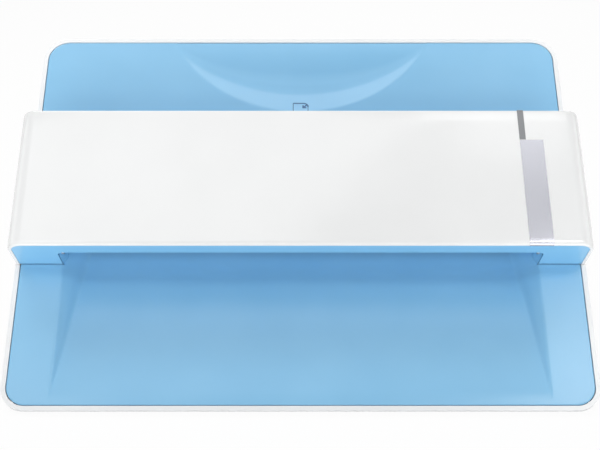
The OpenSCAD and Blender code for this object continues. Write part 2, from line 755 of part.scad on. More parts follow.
switch_h = 6;
stem_d = 4;
button_round = 0.8;
module power_switch() color(black) difference() {
  to_back(button_at, board_y, board_y + switch_h) square(12, center = true);
  to_back(button_at, board_y + 1, board_y + switch_h + 1) circle(d = stem_d + 2 * run_gap);
}
module power_button() color("#d9dadc") translate([button_at[0], 0, button_at[1]]) rotate([-90, 0, 0]) {
  cap_low = board_y + switch_h + button_travel + slide_gap;
  translate([0, 0, cap_low]) cylinder(d = button_d, h = back_y - cap_low - button_round);
  translate([0, 0, back_y - button_round - 0.01])
    cylinder(d1 = button_d, d2 = button_d - 2 * button_round, h = button_round + 0.01);
  translate([0, 0, board_y + switch_h - 2]) cylinder(d = stem_d, h = button_travel + slide_gap + 2.1);
}

// Motor on the inner face of the right side plate
module feed_motor() color("#8d9094") on_slope() translate([0, motor_c[0], motor_c[1]]) difference() {
  union() {
    bar(motor_d, plate_x - motor_len, plate_x - 0.8);
    bar(7.4, plate_x - 1, plate_out);
    across(1, plate_x - 0.5) {
      for (m = [-1, 1]) translate(motor_ear(m)) circle(4);
      rotate(-45) square([motor_d + 8, 8], center = true);
      circle(d = motor_d - 4);
    }
  }
  bar(motor_shaft_d + 2 * run_gap, plate_x - 8, plate_out + 1);
  for (m = [-1, 1]) translate([0, motor_ear(m)[0], motor_ear(m)[1]])
    bar(screw_d + 2 * seat_gap, plate_x - 2, plate_out);
}
module motor_screws() color(steel) on_slope() for (m = [-1, 1]) {
  c = motor_c + motor_ear(m);
  translate([plate_out + head_h, c[0], c[1]]) rotate([0, -90, 0]) screw(plate_t + 0.9);
}

// Involute spur wheel about the origin, turned by turn
function roll(r, base) = let(a = acos(min(1, base / r))) tan(a) * 180 / PI - a;
module gear_outline(z, turn) {
  pitch = pitch_r(z);
  base = pitch * cos(20);
  foot = pitch - 1.25 * tooth;
  tip = pitch + tooth;
  half = 90 / z - tooth_play / 2 / pitch * 180 / PI + roll(pitch, base);
  steps = [foot, max(foot + 0.01, base), (base + pitch) / 2, pitch, (pitch + tip) / 2, tip];
  function flank(r) = half - roll(max(r, base), base);
  polygon([for (i = [0 : z - 1]) let(a = turn + i * 360 / z) each concat(
    [for (k = [0 : 5]) steps[k] * [cos(a - flank(steps[k])), sin(a - flank(steps[k]))]],
    [for (k = [5 : -1 : 0]) steps[k] * [cos(a + flank(steps[k])), sin(a + flank(steps[k]))]])]);
}
module wheel(c, z, turn, x, w, bore, hub) translate([0, c[0], c[1]]) difference() {
  union() {
    across(w, x + w / 2) gear_outline(z, turn);
    bar(hub, x - 0.7, x + w);
  }
  bar(bore, x - 2, x + w + 1);
}

module exit_gear() color(nylon) on_slope()
  wheel(exit_c, roller_z, exit_turn, gear_x, gear_w, shaft_d + 2 * seat_gap, 12);
module feed_gear() color(nylon) on_slope()
  wheel(feed_c, roller_z, feed_turn, gear_x, gear_w, shaft_d + 2 * seat_gap, 12);
module transfer_gear() color(nylon) on_slope()
  wheel(transfer_c, transfer_teeth, transfer_turn, gear_x, gear_w, axle_d + 2 * run_gap, 8);
module reduction_gear() color(nylon) on_slope() {
  wheel(reduction_c, small_z, small_turn, gear_x, gear_w + 0.5, axle_d + 2 * run_gap, 8);
  wheel(reduction_c, large_z, large_turn, wheel_x, gear_w, axle_d + 2 * run_gap, 10);
  translate([0, reduction_c[0], reduction_c[1]]) difference() {
    bar(10, gear_x + gear_w + 0.4, wheel_x);
    bar(axle_d + 2 * run_gap, gear_x, wheel_x + 1);
  }
}
module motor_pinion() color("#b08d4a") on_slope() {
  wheel(motor_c, pinion_z, pinion_turn, wheel_x, gear_w, motor_shaft_d - 0.1, 8);
  translate([0, motor_c[0], motor_c[1]]) bar(motor_shaft_d, plate_x - 7, wheel_x + gear_w);
}
module gear_axles() color(steel) on_slope()
  for (c = [[transfer_c, gear_x + gear_w], [reduction_c, wheel_x + gear_w]])
  translate([0, c[0][0], c[0][1]]) {
    bar(axle_d, plate_x, c[1] + 0.4);
    bar(axle_d + 2, plate_out, gear_x - 0.7 - slide_gap);
    bar(axle_d + 2, c[1] + slide_gap, c[1] + slide_gap + 0.8);
  }

module drive_shaft(c) translate([0, c[0], c[1]]) {
  bar(shaft_d, -plate_out - bush_flange - 2.5, gear_x + gear_w + 0.3);
  bar(shaft_d + 2.5, -plate_out - bush_flange - 1.2, -plate_out - bush_flange - 0.3);
}
module drive_rollers(c) for (x = roller_at) translate([0, c[0], c[1]]) difference() {
  bar(roller_d, x - roller_len / 2, x + roller_len / 2);
  bar(shaft_d + 2 * seat_gap, x - roller_len, x + roller_len);
}
module exit_shaft() color(steel) on_slope() drive_shaft(exit_c);
module feed_shaft() color(steel) on_slope() drive_shaft(feed_c);
module exit_rollers() color(rubber) on_slope() drive_rollers(exit_c);
module feed_rollers() color(rubber) on_slope() drive_rollers(feed_c);

// Cross-section of the cover, drawn in by inset, from a height low up to its face
module cover_outline(inset, low) {
  w = half_w - inset;
  r = max(1, cover_r - inset);
  high = cover_h - inset;
  translate([-w, low]) square([2 * w, high - r - low]);
  translate([-w + r, low]) square([2 * (w - r), high - low]);
  for (m = [-1, 1]) translate([m * (w - r), high - r]) circle(r);
}
cover_boss_d = 6;
// The cover's screws stand just clear of the flange of the background plate
cover_boss_gap = 0.7;
cover_boss_off = strip_edge + cover_boss_gap + head_d / 2;
cover_boss_places = [for (k = [-2 / 3, 2 / 3], m = [-1, 1]) [k * roller_x, scan_s + m * cover_boss_off]];
trim_sunk = 0.5;
window_s = cover_end - window_len;
trim_end = window_s - end_gap;
module front_cover() color(white) on_slope() difference() {
  union() {
    difference() {
      along(cover_len, fold) cover_outline(0, cover_low);
      along(cover_len + 2, fold - 1) cover_outline(cover_wall, cover_low - 1);
      along(end_gap + inner_t + 1.2, fold - 1) translate([0, strip_lift])
        cover_outline(cover_wall, cover_low - 1);
    }
    for (p = cover_boss_places) translate([p[0], p[1], ceiling_top])
      cylinder(d = cover_boss_d, h = cover_in_t - ceiling_top + 0.5);
  }
  for (p = cover_boss_places) translate([p[0], p[1], ceiling_top - 1])
    cylinder(d = screw_d + 2 * seat_gap, h = 12);
  block_between([trim_x - seat_gap, fold - 1, cover_h - trim_sunk],
    [trim_x + trim_w + seat_gap, trim_end + seat_gap, cover_h + 1]);
  block_between([trim_x - seat_gap, window_s - seat_gap, cover_in_t - 1],
    [trim_x + window_w + seat_gap, cover_end + 1, cover_h + 1]);
}

module trim_plate() color("#c3c5ca") on_slope()
  block_between([trim_x, fold + 0.2, cover_h - trim_sunk], [trim_x + trim_w, trim_end, cover_h + 0.15]);
module status_window() color("#8f9194") on_slope()
  block_between([trim_x, window_s, cover_in_t], [trim_x + window_w, cover_end, cover_h]);
// Small board under the window, held between its row of lamps and the end wall
status_low = cover_in_t - 3.4;
status_x = [trim_x - 5, trim_x + window_w];
module status_board() color(board_green) on_slope() {
  block_between([status_x[0], window_s - 1, status_low],
    [status_x[1], tail_s - seat_gap, status_low + board_t]);
  block_between([trim_x + seam, window_s + 1, status_low + board_t - 0.1],
    [trim_x + window_w - seam, tail_s - 1, cover_in_t - seat_gap]);
}

// Opening with two round upper corners, from low up to high
module mouth(low, high) {
  r = 3;
  translate([-mouth_x, low]) square([2 * mouth_x, high - low - r]);
  translate([-mouth_x + r, low]) square([2 * (mouth_x - r), high - low]);
  for (m = [-1, 1]) translate([m * (mouth_x - r), high - r]) circle(r);
}
// Inner edge of the cover's paper guide, from the mouth to the inlet
guide_line = [[nose_s, mouth_t], [fold + 13, ceiling_t], [bed_end - 7.5, ceiling_t], [tail_s, entry_t]];
module cover_inner() color(blue) on_slope() difference() {
  union() {
    along(inner_t, fold + end_gap) difference() {
      union() for (lift = [0, strip_lift]) translate([0, lift])
        cover_outline(cover_wall + seat_gap, cover_low);
      mouth(cover_low - 1, mouth_t);
    }
    along(inner_t, tail_s) difference() {
      cover_outline(cover_wall + seam, path_t + seam);
      mouth(path_t - 1, entry_t);
    }
    // ceiling over the sheet and the two walls that stiffen it
    across(2 * ceiling_x) polygon(concat(guide_line,
      [for (i = [3 : -1 : 0]) guide_line[i] + [0, ceiling_thick + (i == 0 || i == 3 ? 0.6 : 0)]]));
    both_sides() across(ceiling_thick, ceiling_x - ceiling_thick / 2)
      polygon(concat(guide_line, [[tail_s, cover_in_t], [nose_s, cover_in_t]]));
    // flanges that close the cover below on both sides
    both_sides() block_between([ceiling_x - 1, fold + 2 * hinge_in + 3, 4], [cover_in_x, tail_s + 1, 6]);
    // bosses of the hinge pins
    both_sides() translate([0, hinge_s, hinge_t]) bar(2 * (hinge_in - seam), mouth_x, pin_end + 1);
    // towers that guide the bearing blocks of the pinch rollers
    for (s = [exit_s, feed_s]) both_sides() translate([block_x, s, (ceiling_top + tower_t) / 2 + 0.75])
      cube([block[0] + 5, block[1] + 4, tower_t - ceiling_top + 1.5 + 0.5], center = true);
  }
  both_sides() translate([0, hinge_s, hinge_t]) bar(hinge_d + 2 * run_gap, mouth_x - 1, pin_end + 0.3);
  for (s = [exit_s, feed_s]) {
    for (x = roller_at) translate([x, s, pinch_t])
      cube([roller_len + 2, pinch_d + 1.6, pinch_d + 6], center = true);
    both_sides() {
      block_between([block_x - block[0] / 2 - 0.2, s - block[1] / 2 - 0.2, ceiling_t - 1],
        [block_x + block[0] / 2 + 0.2, s + block[1] / 2 + 0.2, tower_t]);
      block_between([block_x - block[0] - 4, s - pinch_axle_d / 2 - slide_gap, ceiling_top],
        [block_x, s + pinch_axle_d / 2 + slide_gap, pinch_t + pinch_axle_d / 2 + pinch_travel + slide_gap]);
    }
  }
  for (p = cover_boss_places) translate([p[0], p[1], ceiling_t - 1]) {
    cylinder(d = screw_d + 0.5, h = ceiling_thick + 3);
    cylinder(d = head_d + 0.4, h = 1 + head_h + 0.1);
  }
  block_between([-optics_x - seat_gap, scan_s - strip_half - seat_gap, ceiling_t - 1],
    [optics_x + seat_gap, scan_s + strip_half + seat_gap, ceiling_top + 0.5]);
  // room for the status board, wherever the window lies
  block_between([status_x[0] - slide_gap, window_s - 1 - slide_gap, status_low - slide_gap],
    [status_x[1] + slide_gap, tail_s, cover_in_t + 1]);
}
module cover_screws() color(steel) on_slope() for (p = cover_boss_places)
  translate([p[0], p[1], ceiling_t + 0.1]) screw(9);

// White strip that the sheet passes under while it is scanned
module background_plate() color(white) on_slope() across(2 * optics_x) translate([scan_s, 0]) {
  face_t = path_t + 0.9;
  polygon([[1 - strip_half, face_t], [strip_half - 1, face_t], [strip_half, face_t + 1],
    [strip_half, ceiling_top], [strip_edge, ceiling_top], [strip_edge, ceiling_top + 1.4],
    [-strip_edge, ceiling_top + 1.4], [-strip_edge, ceiling_top], [-strip_half, ceiling_top],
    [-strip_half, face_t + 1]]);
}

// Pinch sets in the cover: axle, rollers, bearing blocks and springs
module pinch_axle(s) translate([0, s, pinch_t])
  bar(pinch_axle_d, -block_x - block[0] / 2, block_x + block[0] / 2);
module pinch_rollers(s) for (x = roller_at) translate([0, s, pinch_t]) difference() {
  bar(pinch_d, x - roller_len / 2, x + roller_len / 2);
  bar(pinch_axle_d + 2 * seat_gap, x - roller_len, x + roller_len);
}
module pinch_blocks(s) both_sides() translate([block_x, s, pinch_t]) difference() {
  cube(block, center = true);
  bar(pinch_axle_d + 2 * run_gap, -block[0], block[0]);
}

// Coil spring along +Z: one tube of six sides, eight rings a turn
spring_d = 5;
spring_wire = 0.6;
spring_turns = 5;
module coil_spring(h) {
  rings = spring_turns * 8;
  rise = h - spring_wire;
  function ring(i) = [for (k = [0 : 5]) let(a = i * 45, r = spring_d / 2 + spring_wire / 2 * cos(k * 60))
    [r * cos(a), r * sin(a), spring_wire / 2 + rise * i / rings + spring_wire / 2 * sin(k * 60)]];
  points = [for (i = [0 : rings]) each ring(i)];
  sides = [for (i = [0 : rings - 1], k = [0 : 5]) let(a = i * 6 + k, b = i * 6 + (k + 1) % 6)
    each [[a, a + 6, b + 6], [a, b + 6, b]]];
  last = rings * 6;
  ends = concat([for (k = [1 : 4]) [0, k, k + 1]], [for (k = [1 : 4]) [last, last + k + 1, last + k]]);
  polyhedron(points, concat(sides, ends));
}
spring_room = tower_t - pinch_t - block[2] / 2;
module pinch_springs(s) both_sides() translate([block_x, s, pinch_t + block[2] / 2]) coil_spring(spring_room);

module exit_pinch_axle() color(steel) on_slope() pinch_axle(exit_s);
module feed_pinch_axle() color(steel) on_slope() pinch_axle(feed_s);
module exit_pinch_rollers() color(rubber) on_slope() pinch_rollers(exit_s);
module feed_pinch_rollers() color(rubber) on_slope() pinch_rollers(feed_s);
module exit_pinch_blocks() color(nylon) on_slope() pinch_blocks(exit_s);
module feed_pinch_blocks() color(nylon) on_slope() pinch_blocks(feed_s);
module exit_pinch_springs() color(steel) on_slope() pinch_springs(exit_s);
module feed_pinch_springs() color(steel) on_slope() pinch_springs(feed_s);

main_housing();
base_plate();
rubber_feet();
base_screws();
tray_liner();
feed_panel();
scan_bed();
left_side_plate();
right_side_plate();
chassis_screws();
scan_glass();
optics_housing();
light_bar();
fold_mirrors();
scan_lens();
sensor_board();
sensor_chip();
sensor_ribbon();
main_board();
board_chips();
board_screws();
usb_socket();
power_jack();
power_switch();
power_button();
feed_motor();
motor_screws();
motor_pinion();
reduction_gear();
transfer_gear();
gear_axles();
exit_shaft();
exit_rollers();
exit_gear();
feed_shaft();
feed_rollers();
feed_gear();
shaft_bushes();
paper_flag();
flag_sensor();
width_guide();
hinge_pins();
front_cover();
cover_inner();
cover_screws();
trim_plate();
status_window();
status_board();
background_plate();
exit_pinch_axle();
exit_pinch_rollers();
exit_pinch_blocks();
exit_pinch_springs();
feed_pinch_axle();
feed_pinch_rollers();
feed_pinch_blocks();
feed_pinch_springs();
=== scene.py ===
"""Looks of the sheet-fed scanner: soft mouldings, finishes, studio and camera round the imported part.

Shapes are worked out in the paper path's own frame, in millimetres: x across the scanner, s up the
leaning path from the front edge of the tray, t out of the path towards the user.
"""

import json
import logging
import math
from collections.abc import Callable, Iterable, Sequence
from dataclasses import dataclass, field
from enum import Enum
from typing import Any

import bmesh
import bpy
import numpy as np
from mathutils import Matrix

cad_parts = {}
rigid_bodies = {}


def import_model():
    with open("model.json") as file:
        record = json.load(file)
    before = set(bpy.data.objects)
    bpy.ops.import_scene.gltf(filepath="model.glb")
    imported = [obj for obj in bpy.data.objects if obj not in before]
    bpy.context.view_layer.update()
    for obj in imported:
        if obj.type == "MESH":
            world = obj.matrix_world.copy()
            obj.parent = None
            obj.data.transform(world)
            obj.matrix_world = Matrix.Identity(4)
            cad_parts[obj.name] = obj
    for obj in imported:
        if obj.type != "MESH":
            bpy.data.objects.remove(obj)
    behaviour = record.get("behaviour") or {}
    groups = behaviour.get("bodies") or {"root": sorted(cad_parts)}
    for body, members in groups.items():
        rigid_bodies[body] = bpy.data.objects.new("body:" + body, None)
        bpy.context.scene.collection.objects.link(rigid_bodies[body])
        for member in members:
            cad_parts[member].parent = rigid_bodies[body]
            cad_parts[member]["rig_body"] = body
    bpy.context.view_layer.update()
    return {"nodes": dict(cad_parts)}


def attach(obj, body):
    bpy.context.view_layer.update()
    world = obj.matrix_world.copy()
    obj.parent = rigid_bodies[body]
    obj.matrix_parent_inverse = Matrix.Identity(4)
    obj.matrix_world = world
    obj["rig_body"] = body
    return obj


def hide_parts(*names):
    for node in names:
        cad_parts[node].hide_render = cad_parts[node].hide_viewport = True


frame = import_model()
LOG = logging.getLogger("scanner")
MM = 0.001
Faces = list[tuple[int, ...]]
Place = tuple[float, float]
Band = tuple[float, float, float]
# Edges of a drawn moulding that turn by more than this stay sharp.
SHARP_DEG = 32.0
# Roughness of the lacquer over a finish, and where a colour ramp of clouds or of fine lines starts and ends.
COAT_ROUGHNESS = 0.06
CLOUD_STOPS = (0.3, 0.7)
LINE_STOPS = (0.42, 0.58)
# How grain is drawn out along x.
BRUSHED_STRETCH = (0.02, 1.0, 1.0)
EVEN_STRETCH = (1.0, 1.0, 1.0)


class Pattern(Enum):
    """What a finish draws on its surface."""

    GRAIN = "fine moulded grain"
    BRUSHED = "lines left by brushing or rolling along x"
    TRACES = "copper tracks under green lacquer"
    STRIPES = "side-by-side conductors of a flat cable"


def linear(code: str) -> tuple[float, float, float, float]:
    """Turns an sRGB hex colour into linear light.

    Args:
        code: Six hex digits after a hash sign.

    Returns:
        Red, green, blue and a full alpha.
    """
    parts = [int(code[i:i + 2], 16) / 255 for i in (1, 3, 5)]
    red, green, blue = (p / 12.92 if p <= 0.04045 else ((p + 0.055) / 1.055) ** 2.4 for p in parts)
    return red, green, blue, 1.0


def add_node(tree: bpy.types.NodeTree, kind: str, sockets: dict[Any, Any] | None = None,
             **settings: Any) -> bpy.types.Node:
    """Adds one node with its settings, values and links.

    Args:
        tree: Tree that takes the node.
        kind: Blender's name of the node type.
        sockets: Value, or output to link, for each input by name or number.
        settings: Properties of the node itself.

    Returns:
        The new node.
    """
    node = tree.nodes.new(kind)
    for key, value in settings.items():
        setattr(node, key, value)
    for key, value in (sockets or {}).items():
        if isinstance(value, bpy.types.NodeSocket):
            tree.links.new(value, node.inputs[key])
        else:
            node.inputs[key].default_value = value
    return node


@dataclass(frozen=True)
class Finish:
    """A real material and how its surface was made.

    The colour drifts between colour and second in clouds of cloud_mm, as pigment does in a moulding.
    The grain of grain_mm stands depth_mm high and spreads the roughness by rough_spread.
    """

    name: str
    slot: str
    colour: str
    second: str
    roughness: float
    metallic: float = 0.0
    ior: float = 1.5
    coat: float = 0.0
    transmission: float = 0.0
    pattern: Pattern = Pattern.GRAIN
    cloud_mm: float = 45.0
    grain_mm: float = 0.7
    depth_mm: float = 0.012
    rough_spread: float = 0.05

    def material(self) -> bpy.types.Material:
        """Gives the material, which is made when it is first asked for.

        Returns:
            The material with its nodes.
        """
        known = bpy.data.materials.get(self.name)
        if known is not None:
            return known
        made = bpy.data.materials.new(self.name)
        made.use_nodes = True
        tree = made.node_tree
        tree.nodes.clear()
        place = add_node(tree, "ShaderNodeTexCoord").outputs["Object"]
        grain = self.grain(tree, place)
        rough = add_node(tree, "ShaderNodeMapRange", {
            "Value": grain, "To Min": self.roughness - self.rough_spread,
            "To Max": self.roughness + self.rough_spread})
        bump = add_node(tree, "ShaderNodeBump", {
            "Height": grain, "Strength": 1.0, "Distance": self.depth_mm * MM})
        shader = add_node(tree, "ShaderNodeBsdfPrincipled", {
            "Base Color": self.tint(tree, place), "Roughness": rough.outputs["Result"],
            "Normal": bump.outputs["Normal"], "Metallic": self.metallic, "Coat Weight": self.coat,
            "Coat Roughness": COAT_ROUGHNESS, "Transmission Weight": self.transmission})
        if self.metallic == 0.0:
            shader.inputs["IOR"].default_value = self.ior
        add_node(tree, "ShaderNodeOutputMaterial", {"Surface": shader.outputs["BSDF"]})
        return made

    def grain(self, tree: bpy.types.NodeTree, place: bpy.types.NodeSocket) -> bpy.types.NodeSocket:
        """Height of the fine grain, from 0 to 1.

        Args:
            tree: Tree of the material.
            place: Coordinates in metres.

        Returns:
            The output that carries the height.
        """
        stretch = BRUSHED_STRETCH if self.pattern is Pattern.BRUSHED else EVEN_STRETCH
        laid = add_node(tree, "ShaderNodeMapping", {"Vector": place, "Scale": stretch})
        noise = add_node(tree, "ShaderNodeTexNoise", {
            "Vector": laid.outputs["Vector"], "Scale": 1 / (self.grain_mm * MM), "Detail": 3.0})
        return noise.outputs["Fac"]

    def tint(self, tree: bpy.types.NodeTree, place: bpy.types.NodeSocket) -> bpy.types.NodeSocket:
        """Colour over the surface.

        Args:
            tree: Tree of the material.
            place: Coordinates in metres.

        Returns:
            The output that carries the colour.
        """
        ramp = add_node(tree, "ShaderNodeValToRGB", {"Fac": self.spread(tree, place)})
        stops = LINE_STOPS if self.pattern in (Pattern.TRACES, Pattern.STRIPES) else CLOUD_STOPS
        for stop, at, code in zip(ramp.color_ramp.elements, stops, (self.colour, self.second)):
            stop.position = at
            stop.color = linear(code)
        return ramp.outputs["Color"]

    def spread(self, tree: bpy.types.NodeTree, place: bpy.types.NodeSocket) -> bpy.types.NodeSocket:
        """Share of the second colour over the surface.

        Args:
            tree: Tree of the material.
            place: Coordinates in metres.

        Returns:
            The output that carries the share, from 0 to 1.
        """
        scale = 1 / (self.cloud_mm * MM)
        if self.pattern is Pattern.STRIPES:
            wave = add_node(tree, "ShaderNodeTexWave", {"Vector": place, "Scale": scale / (2 * math.pi)},
                            bands_direction="X")
            return wave.outputs["Fac"]
        if self.pattern is Pattern.TRACES:
            cells = add_node(tree, "ShaderNodeTexVoronoi", {"Vector": place, "Scale": scale},
                             distance="MANHATTAN", feature="DISTANCE_TO_EDGE")
            return cells.outputs["Distance"]
        noise = add_node(tree, "ShaderNodeTexNoise", {"Vector": place, "Scale": scale, "Detail": 2.0})
        return noise.outputs["Fac"]


# Glossy white ABS of the housing, moulded in a polished tool: clean highlights along the rim.
HOUSING_WHITE = Finish("abs_white_moulded", "housing_white", "#f2f3f3", "#f5f6f6", 0.32, ior=1.53,
                       grain_mm=0.9, depth_mm=0.004)
# High-gloss white ABS of the cover: a soft mirror with the faint waviness of a large flat moulding.
COVER_WHITE = Finish("abs_white_high_gloss", "cover_white", "#e7e8e8", "#eaebeb", 0.16, ior=1.53, coat=0.6,
                     grain_mm=14.0, depth_mm=0.004, rough_spread=0.02)
# Satin sky-blue ABS of the tray and panel: even colour with a soft sheen from a fine etched tool.
LINER_BLUE = Finish("abs_sky_blue_satin", "liner_blue", "#8ac5ea", "#8fc9ed", 0.24, ior=1.43,
                    grain_mm=0.8, depth_mm=0.008)
# Satin anodised aluminium plate: cool grey with short brush lines across it.
TRIM_SILVER = Finish("aluminium_satin_anodised", "trim_silver", "#aeafb6", "#b3b4bb", 0.18, metallic=0.8,
                     pattern=Pattern.BRUSHED, cloud_mm=30.0, grain_mm=0.5, depth_mm=0.0015, rough_spread=0.02)
# Smoked acrylic light guide: mid grey, polished.
WINDOW_GREY = Finish("acrylic_smoked", "window_grey", "#7c7e81", "#86888b", 0.2, ior=1.49,
                     grain_mm=2.0, depth_mm=0.002, rough_spread=0.02)
# Black ABS of the inner frame, moulded with a coarse spark-eroded grain.
FRAME_BLACK = Finish("abs_black_eroded", "frame_black", "#1b1c1e", "#232427", 0.55, ior=1.53,
                     grain_mm=0.5, depth_mm=0.02)
# Zinc-plated sheet and bright turned steel: grey, with rolling lines.
BRIGHT_STEEL = Finish("steel_zinc_plated", "bright_steel", "#b3b6ba", "#c3c6c9", 0.3, metallic=1.0,
                      pattern=Pattern.BRUSHED, cloud_mm=12.0, grain_mm=0.4, depth_mm=0.004)
# Moulded rubber of feet and rollers: dull dark grey with a ground surface.
GRIP_RUBBER = Finish("rubber_ground", "grip_rubber", "#2b2c2d", "#343536", 0.8, ior=1.52,
                     grain_mm=0.35, depth_mm=0.03)
# Natural acetal of gears, bushes and blocks: milky and waxy.
GEAR_ACETAL = Finish("acetal_natural_moulded", "gear_nylon", "#e2dfd3", "#e9e6dc", 0.42, ior=1.48,
                     grain_mm=0.6, depth_mm=0.005)
# Turned brass of the motor pinion.
PINION_BRASS = Finish("brass_turned", "pinion_brass", "#b79452", "#c3a262", 0.28, metallic=1.0,
                      pattern=Pattern.BRUSHED, cloud_mm=6.0, grain_mm=0.3, depth_mm=0.004)
# Float glass of the scanning strip: clear with a faint green body.
BED_GLASS = Finish("float_glass_polished", "bed_glass", "#dcebe6", "#e4f0ec", 0.03, ior=1.52,
                   transmission=0.9, grain_mm=20.0, depth_mm=0.0005, rough_spread=0.005)
# Front-silvered glass of the folding mirrors.
MIRROR_GLASS = Finish("glass_front_silvered", "mirror_glass", "#d7dbdd", "#dee2e4", 0.04, metallic=1.0,
                      grain_mm=20.0, depth_mm=0.0005, rough_spread=0.01)
# Epoxy board under green lacquer, with copper tracks that lie a little lighter.
BOARD_GREEN = Finish("epoxy_board_lacquered", "board_green", "#2f7a4c", "#1f5a38", 0.35, ior=1.55,
                     pattern=Pattern.TRACES, cloud_mm=5.0, grain_mm=0.4, depth_mm=0.02)
# Moulded epoxy of the chip packages.
CHIP_BLACK = Finish("epoxy_package_moulded", "chip_black", "#18191b", "#202123", 0.5, ior=1.55,
                    grain_mm=0.3, depth_mm=0.01)
# White polyester flat cable: conductors 1 mm apart show through it.
RIBBON_WHITE = Finish("polyester_flat_cable", "ribbon_white", "#dfdfe2", "#b9bcc4", 0.45, ior=1.57,
                      pattern=Pattern.STRIPES, cloud_mm=1.0, grain_mm=1.0, depth_mm=0.01)
# Drawn steel can of the motor, dull nickel.
MOTOR_CAN = Finish("steel_drawn_nickelled", "motor_can", "#8f9296", "#9da0a4", 0.38, metallic=1.0,
                   pattern=Pattern.BRUSHED, cloud_mm=10.0, grain_mm=0.5, depth_mm=0.005)
# Light grey ABS of the power button.
BUTTON_GREY = Finish("abs_light_grey_moulded", "button_grey", "#c9cacd", "#d2d3d5", 0.38, ior=1.53,
                     grain_mm=0.5, depth_mm=0.01)
# Dark blue pad-printing ink of the page sign: a thin matt film.
SIGN_INK = Finish("pad_print_ink_blue", "liner_blue", "#33608c", "#3b6a96", 0.55, ior=1.5,
                  grain_mm=0.3, depth_mm=0.004)


@dataclass(frozen=True)
class PathFrame:
    """Leaning frame of the paper path."""

    lean_deg: float = 46.7
    origin_y: float = -78.44684
    origin_z: float = 4.573878

    def world(self, points: np.ndarray) -> np.ndarray:
        """Takes points from the path's frame to the room.

        Args:
            points: Rows of x, s and t in millimetres.

        Returns:
            Rows of x, y and z in metres.
        """
        c, s = math.cos(math.radians(self.lean_deg)), math.sin(math.radians(self.lean_deg))
        x, along, out = points.T
        y, z = self.origin_y + along * c - out * s, self.origin_z + along * s + out * c
        return np.stack([x, y, z], 1) * MM


PATH = PathFrame()


def show(mesh: bpy.types.Mesh, finish: Finish, body: str, sharp_deg: float) -> bpy.types.Object:
    """Shows a mesh as an object that rides on a body.

    Args:
        mesh: Mesh, whose name the object takes.
        finish: Finish that it wears.
        body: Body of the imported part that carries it.
        sharp_deg: Edges that turn by more than this stay sharp.

    Returns:
        The new object.
    """
    mesh.polygons.foreach_set("use_smooth", [True] * len(mesh.polygons))
    mesh.set_sharp_from_angle(angle=math.radians(sharp_deg))
    mesh.materials.append(finish.material())
    made = bpy.data.objects.new(mesh.name, mesh)
    bpy.context.scene.collection.objects.link(made)
    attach(made, body)
    LOG.info("%s: %d faces on %s", mesh.name, len(mesh.polygons), body)
    return made


def make_piece(name: str, points: np.ndarray, faces: Faces, finish: Finish, body: str) -> bpy.types.Object:
    """Makes a drawn piece that rides on a body.

    Args:
        name: Name of the piece.
        points: Corners in the path's frame.
        faces: Corner numbers of each face.
        finish: Finish that it wears.
        body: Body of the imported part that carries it.

    Returns:
        The new object.
    """
    mesh = bpy.data.meshes.new(name)
    mesh.from_pydata(PATH.world(points).tolist(), [], faces)
    mesh.validate()
    return show(mesh, finish, body, SHARP_DEG)


def join_parts(parts: Iterable[tuple[np.ndarray, Faces]]) -> tuple[np.ndarray, Faces]:
    """Puts several sets of points and faces into one.

    Args:
        parts: Points and faces of each part.

    Returns:
        All the points, and the faces with their numbers moved on.
    """
    points: list[np.ndarray] = []
    faces: Faces = []
    start = 0
    for some, theirs in parts:
        points.append(some)
        faces += [tuple(i + start for i in f) for f in theirs]
        start += len(some)
    return np.concatenate(points), faces


def soft_min(a: np.ndarray, b: np.ndarray, blend: np.ndarray | float) -> np.ndarray:
    """Smaller of two heights, with a rounded change between them.

    Args:
        a: First height.
        b: Second height.
        blend: Difference in height over which the change is rounded.

    Returns:
        The blended height.
    """
    share = np.maximum(blend - np.abs(a - b), 0) / np.maximum(blend, 1e-9)
    return np.minimum(a, b) - share ** 2 * blend / 4


def soft_max(a: np.ndarray, b: np.ndarray, blend: np.ndarray | float) -> np.ndarray:
    """Larger of two heights, with a rounded change between them."""
    return -soft_min(-a, -b, blend)


def bands(spans: Sequence[Band]) -> list[np.ndarray]:
    """Even steps over each span, which is given by its start, stop and step."""
    return [np.arange(*span) for span in spans]


def grid_lines(*sets: Sequence[float] | np.ndarray) -> np.ndarray:
    """Lines of a grid in order, each of them once."""
    return np.unique(np.concatenate(sets).round(5))


@dataclass(frozen=True)
class RoundedEnd:
    """Outline of a sheet with two round corners at one end.

    The end lies at the front of the path where towards is -1, and at its top where it is 1.
    """

    half_w: float
    end: float
    corner_r: float
    towards: int

    def past(self, s: np.ndarray) -> np.ndarray:
        """How far each place lies past the line where the corners start."""
        return self.towards * (s - self.end) + self.corner_r

    def reach(self, s: np.ndarray) -> np.ndarray:
        """Half the width of the sheet at each place up the path."""
        into = np.clip(self.past(s), 0, self.corner_r)
        return self.half_w - self.corner_r + np.sqrt(self.corner_r ** 2 - into ** 2)

    def gap(self, x: np.ndarray, s: np.ndarray) -> np.ndarray:
        """Distance in from the sides and the end."""
        beside, past = np.abs(x) - (self.half_w - self.corner_r), self.past(s)
        corner = self.corner_r - np.hypot(np.maximum(beside, 0), np.maximum(past, 0))
        straight = np.minimum(self.half_w - np.abs(x), self.corner_r - past)
        return np.where((beside > 0) & (past > 0), corner, straight)


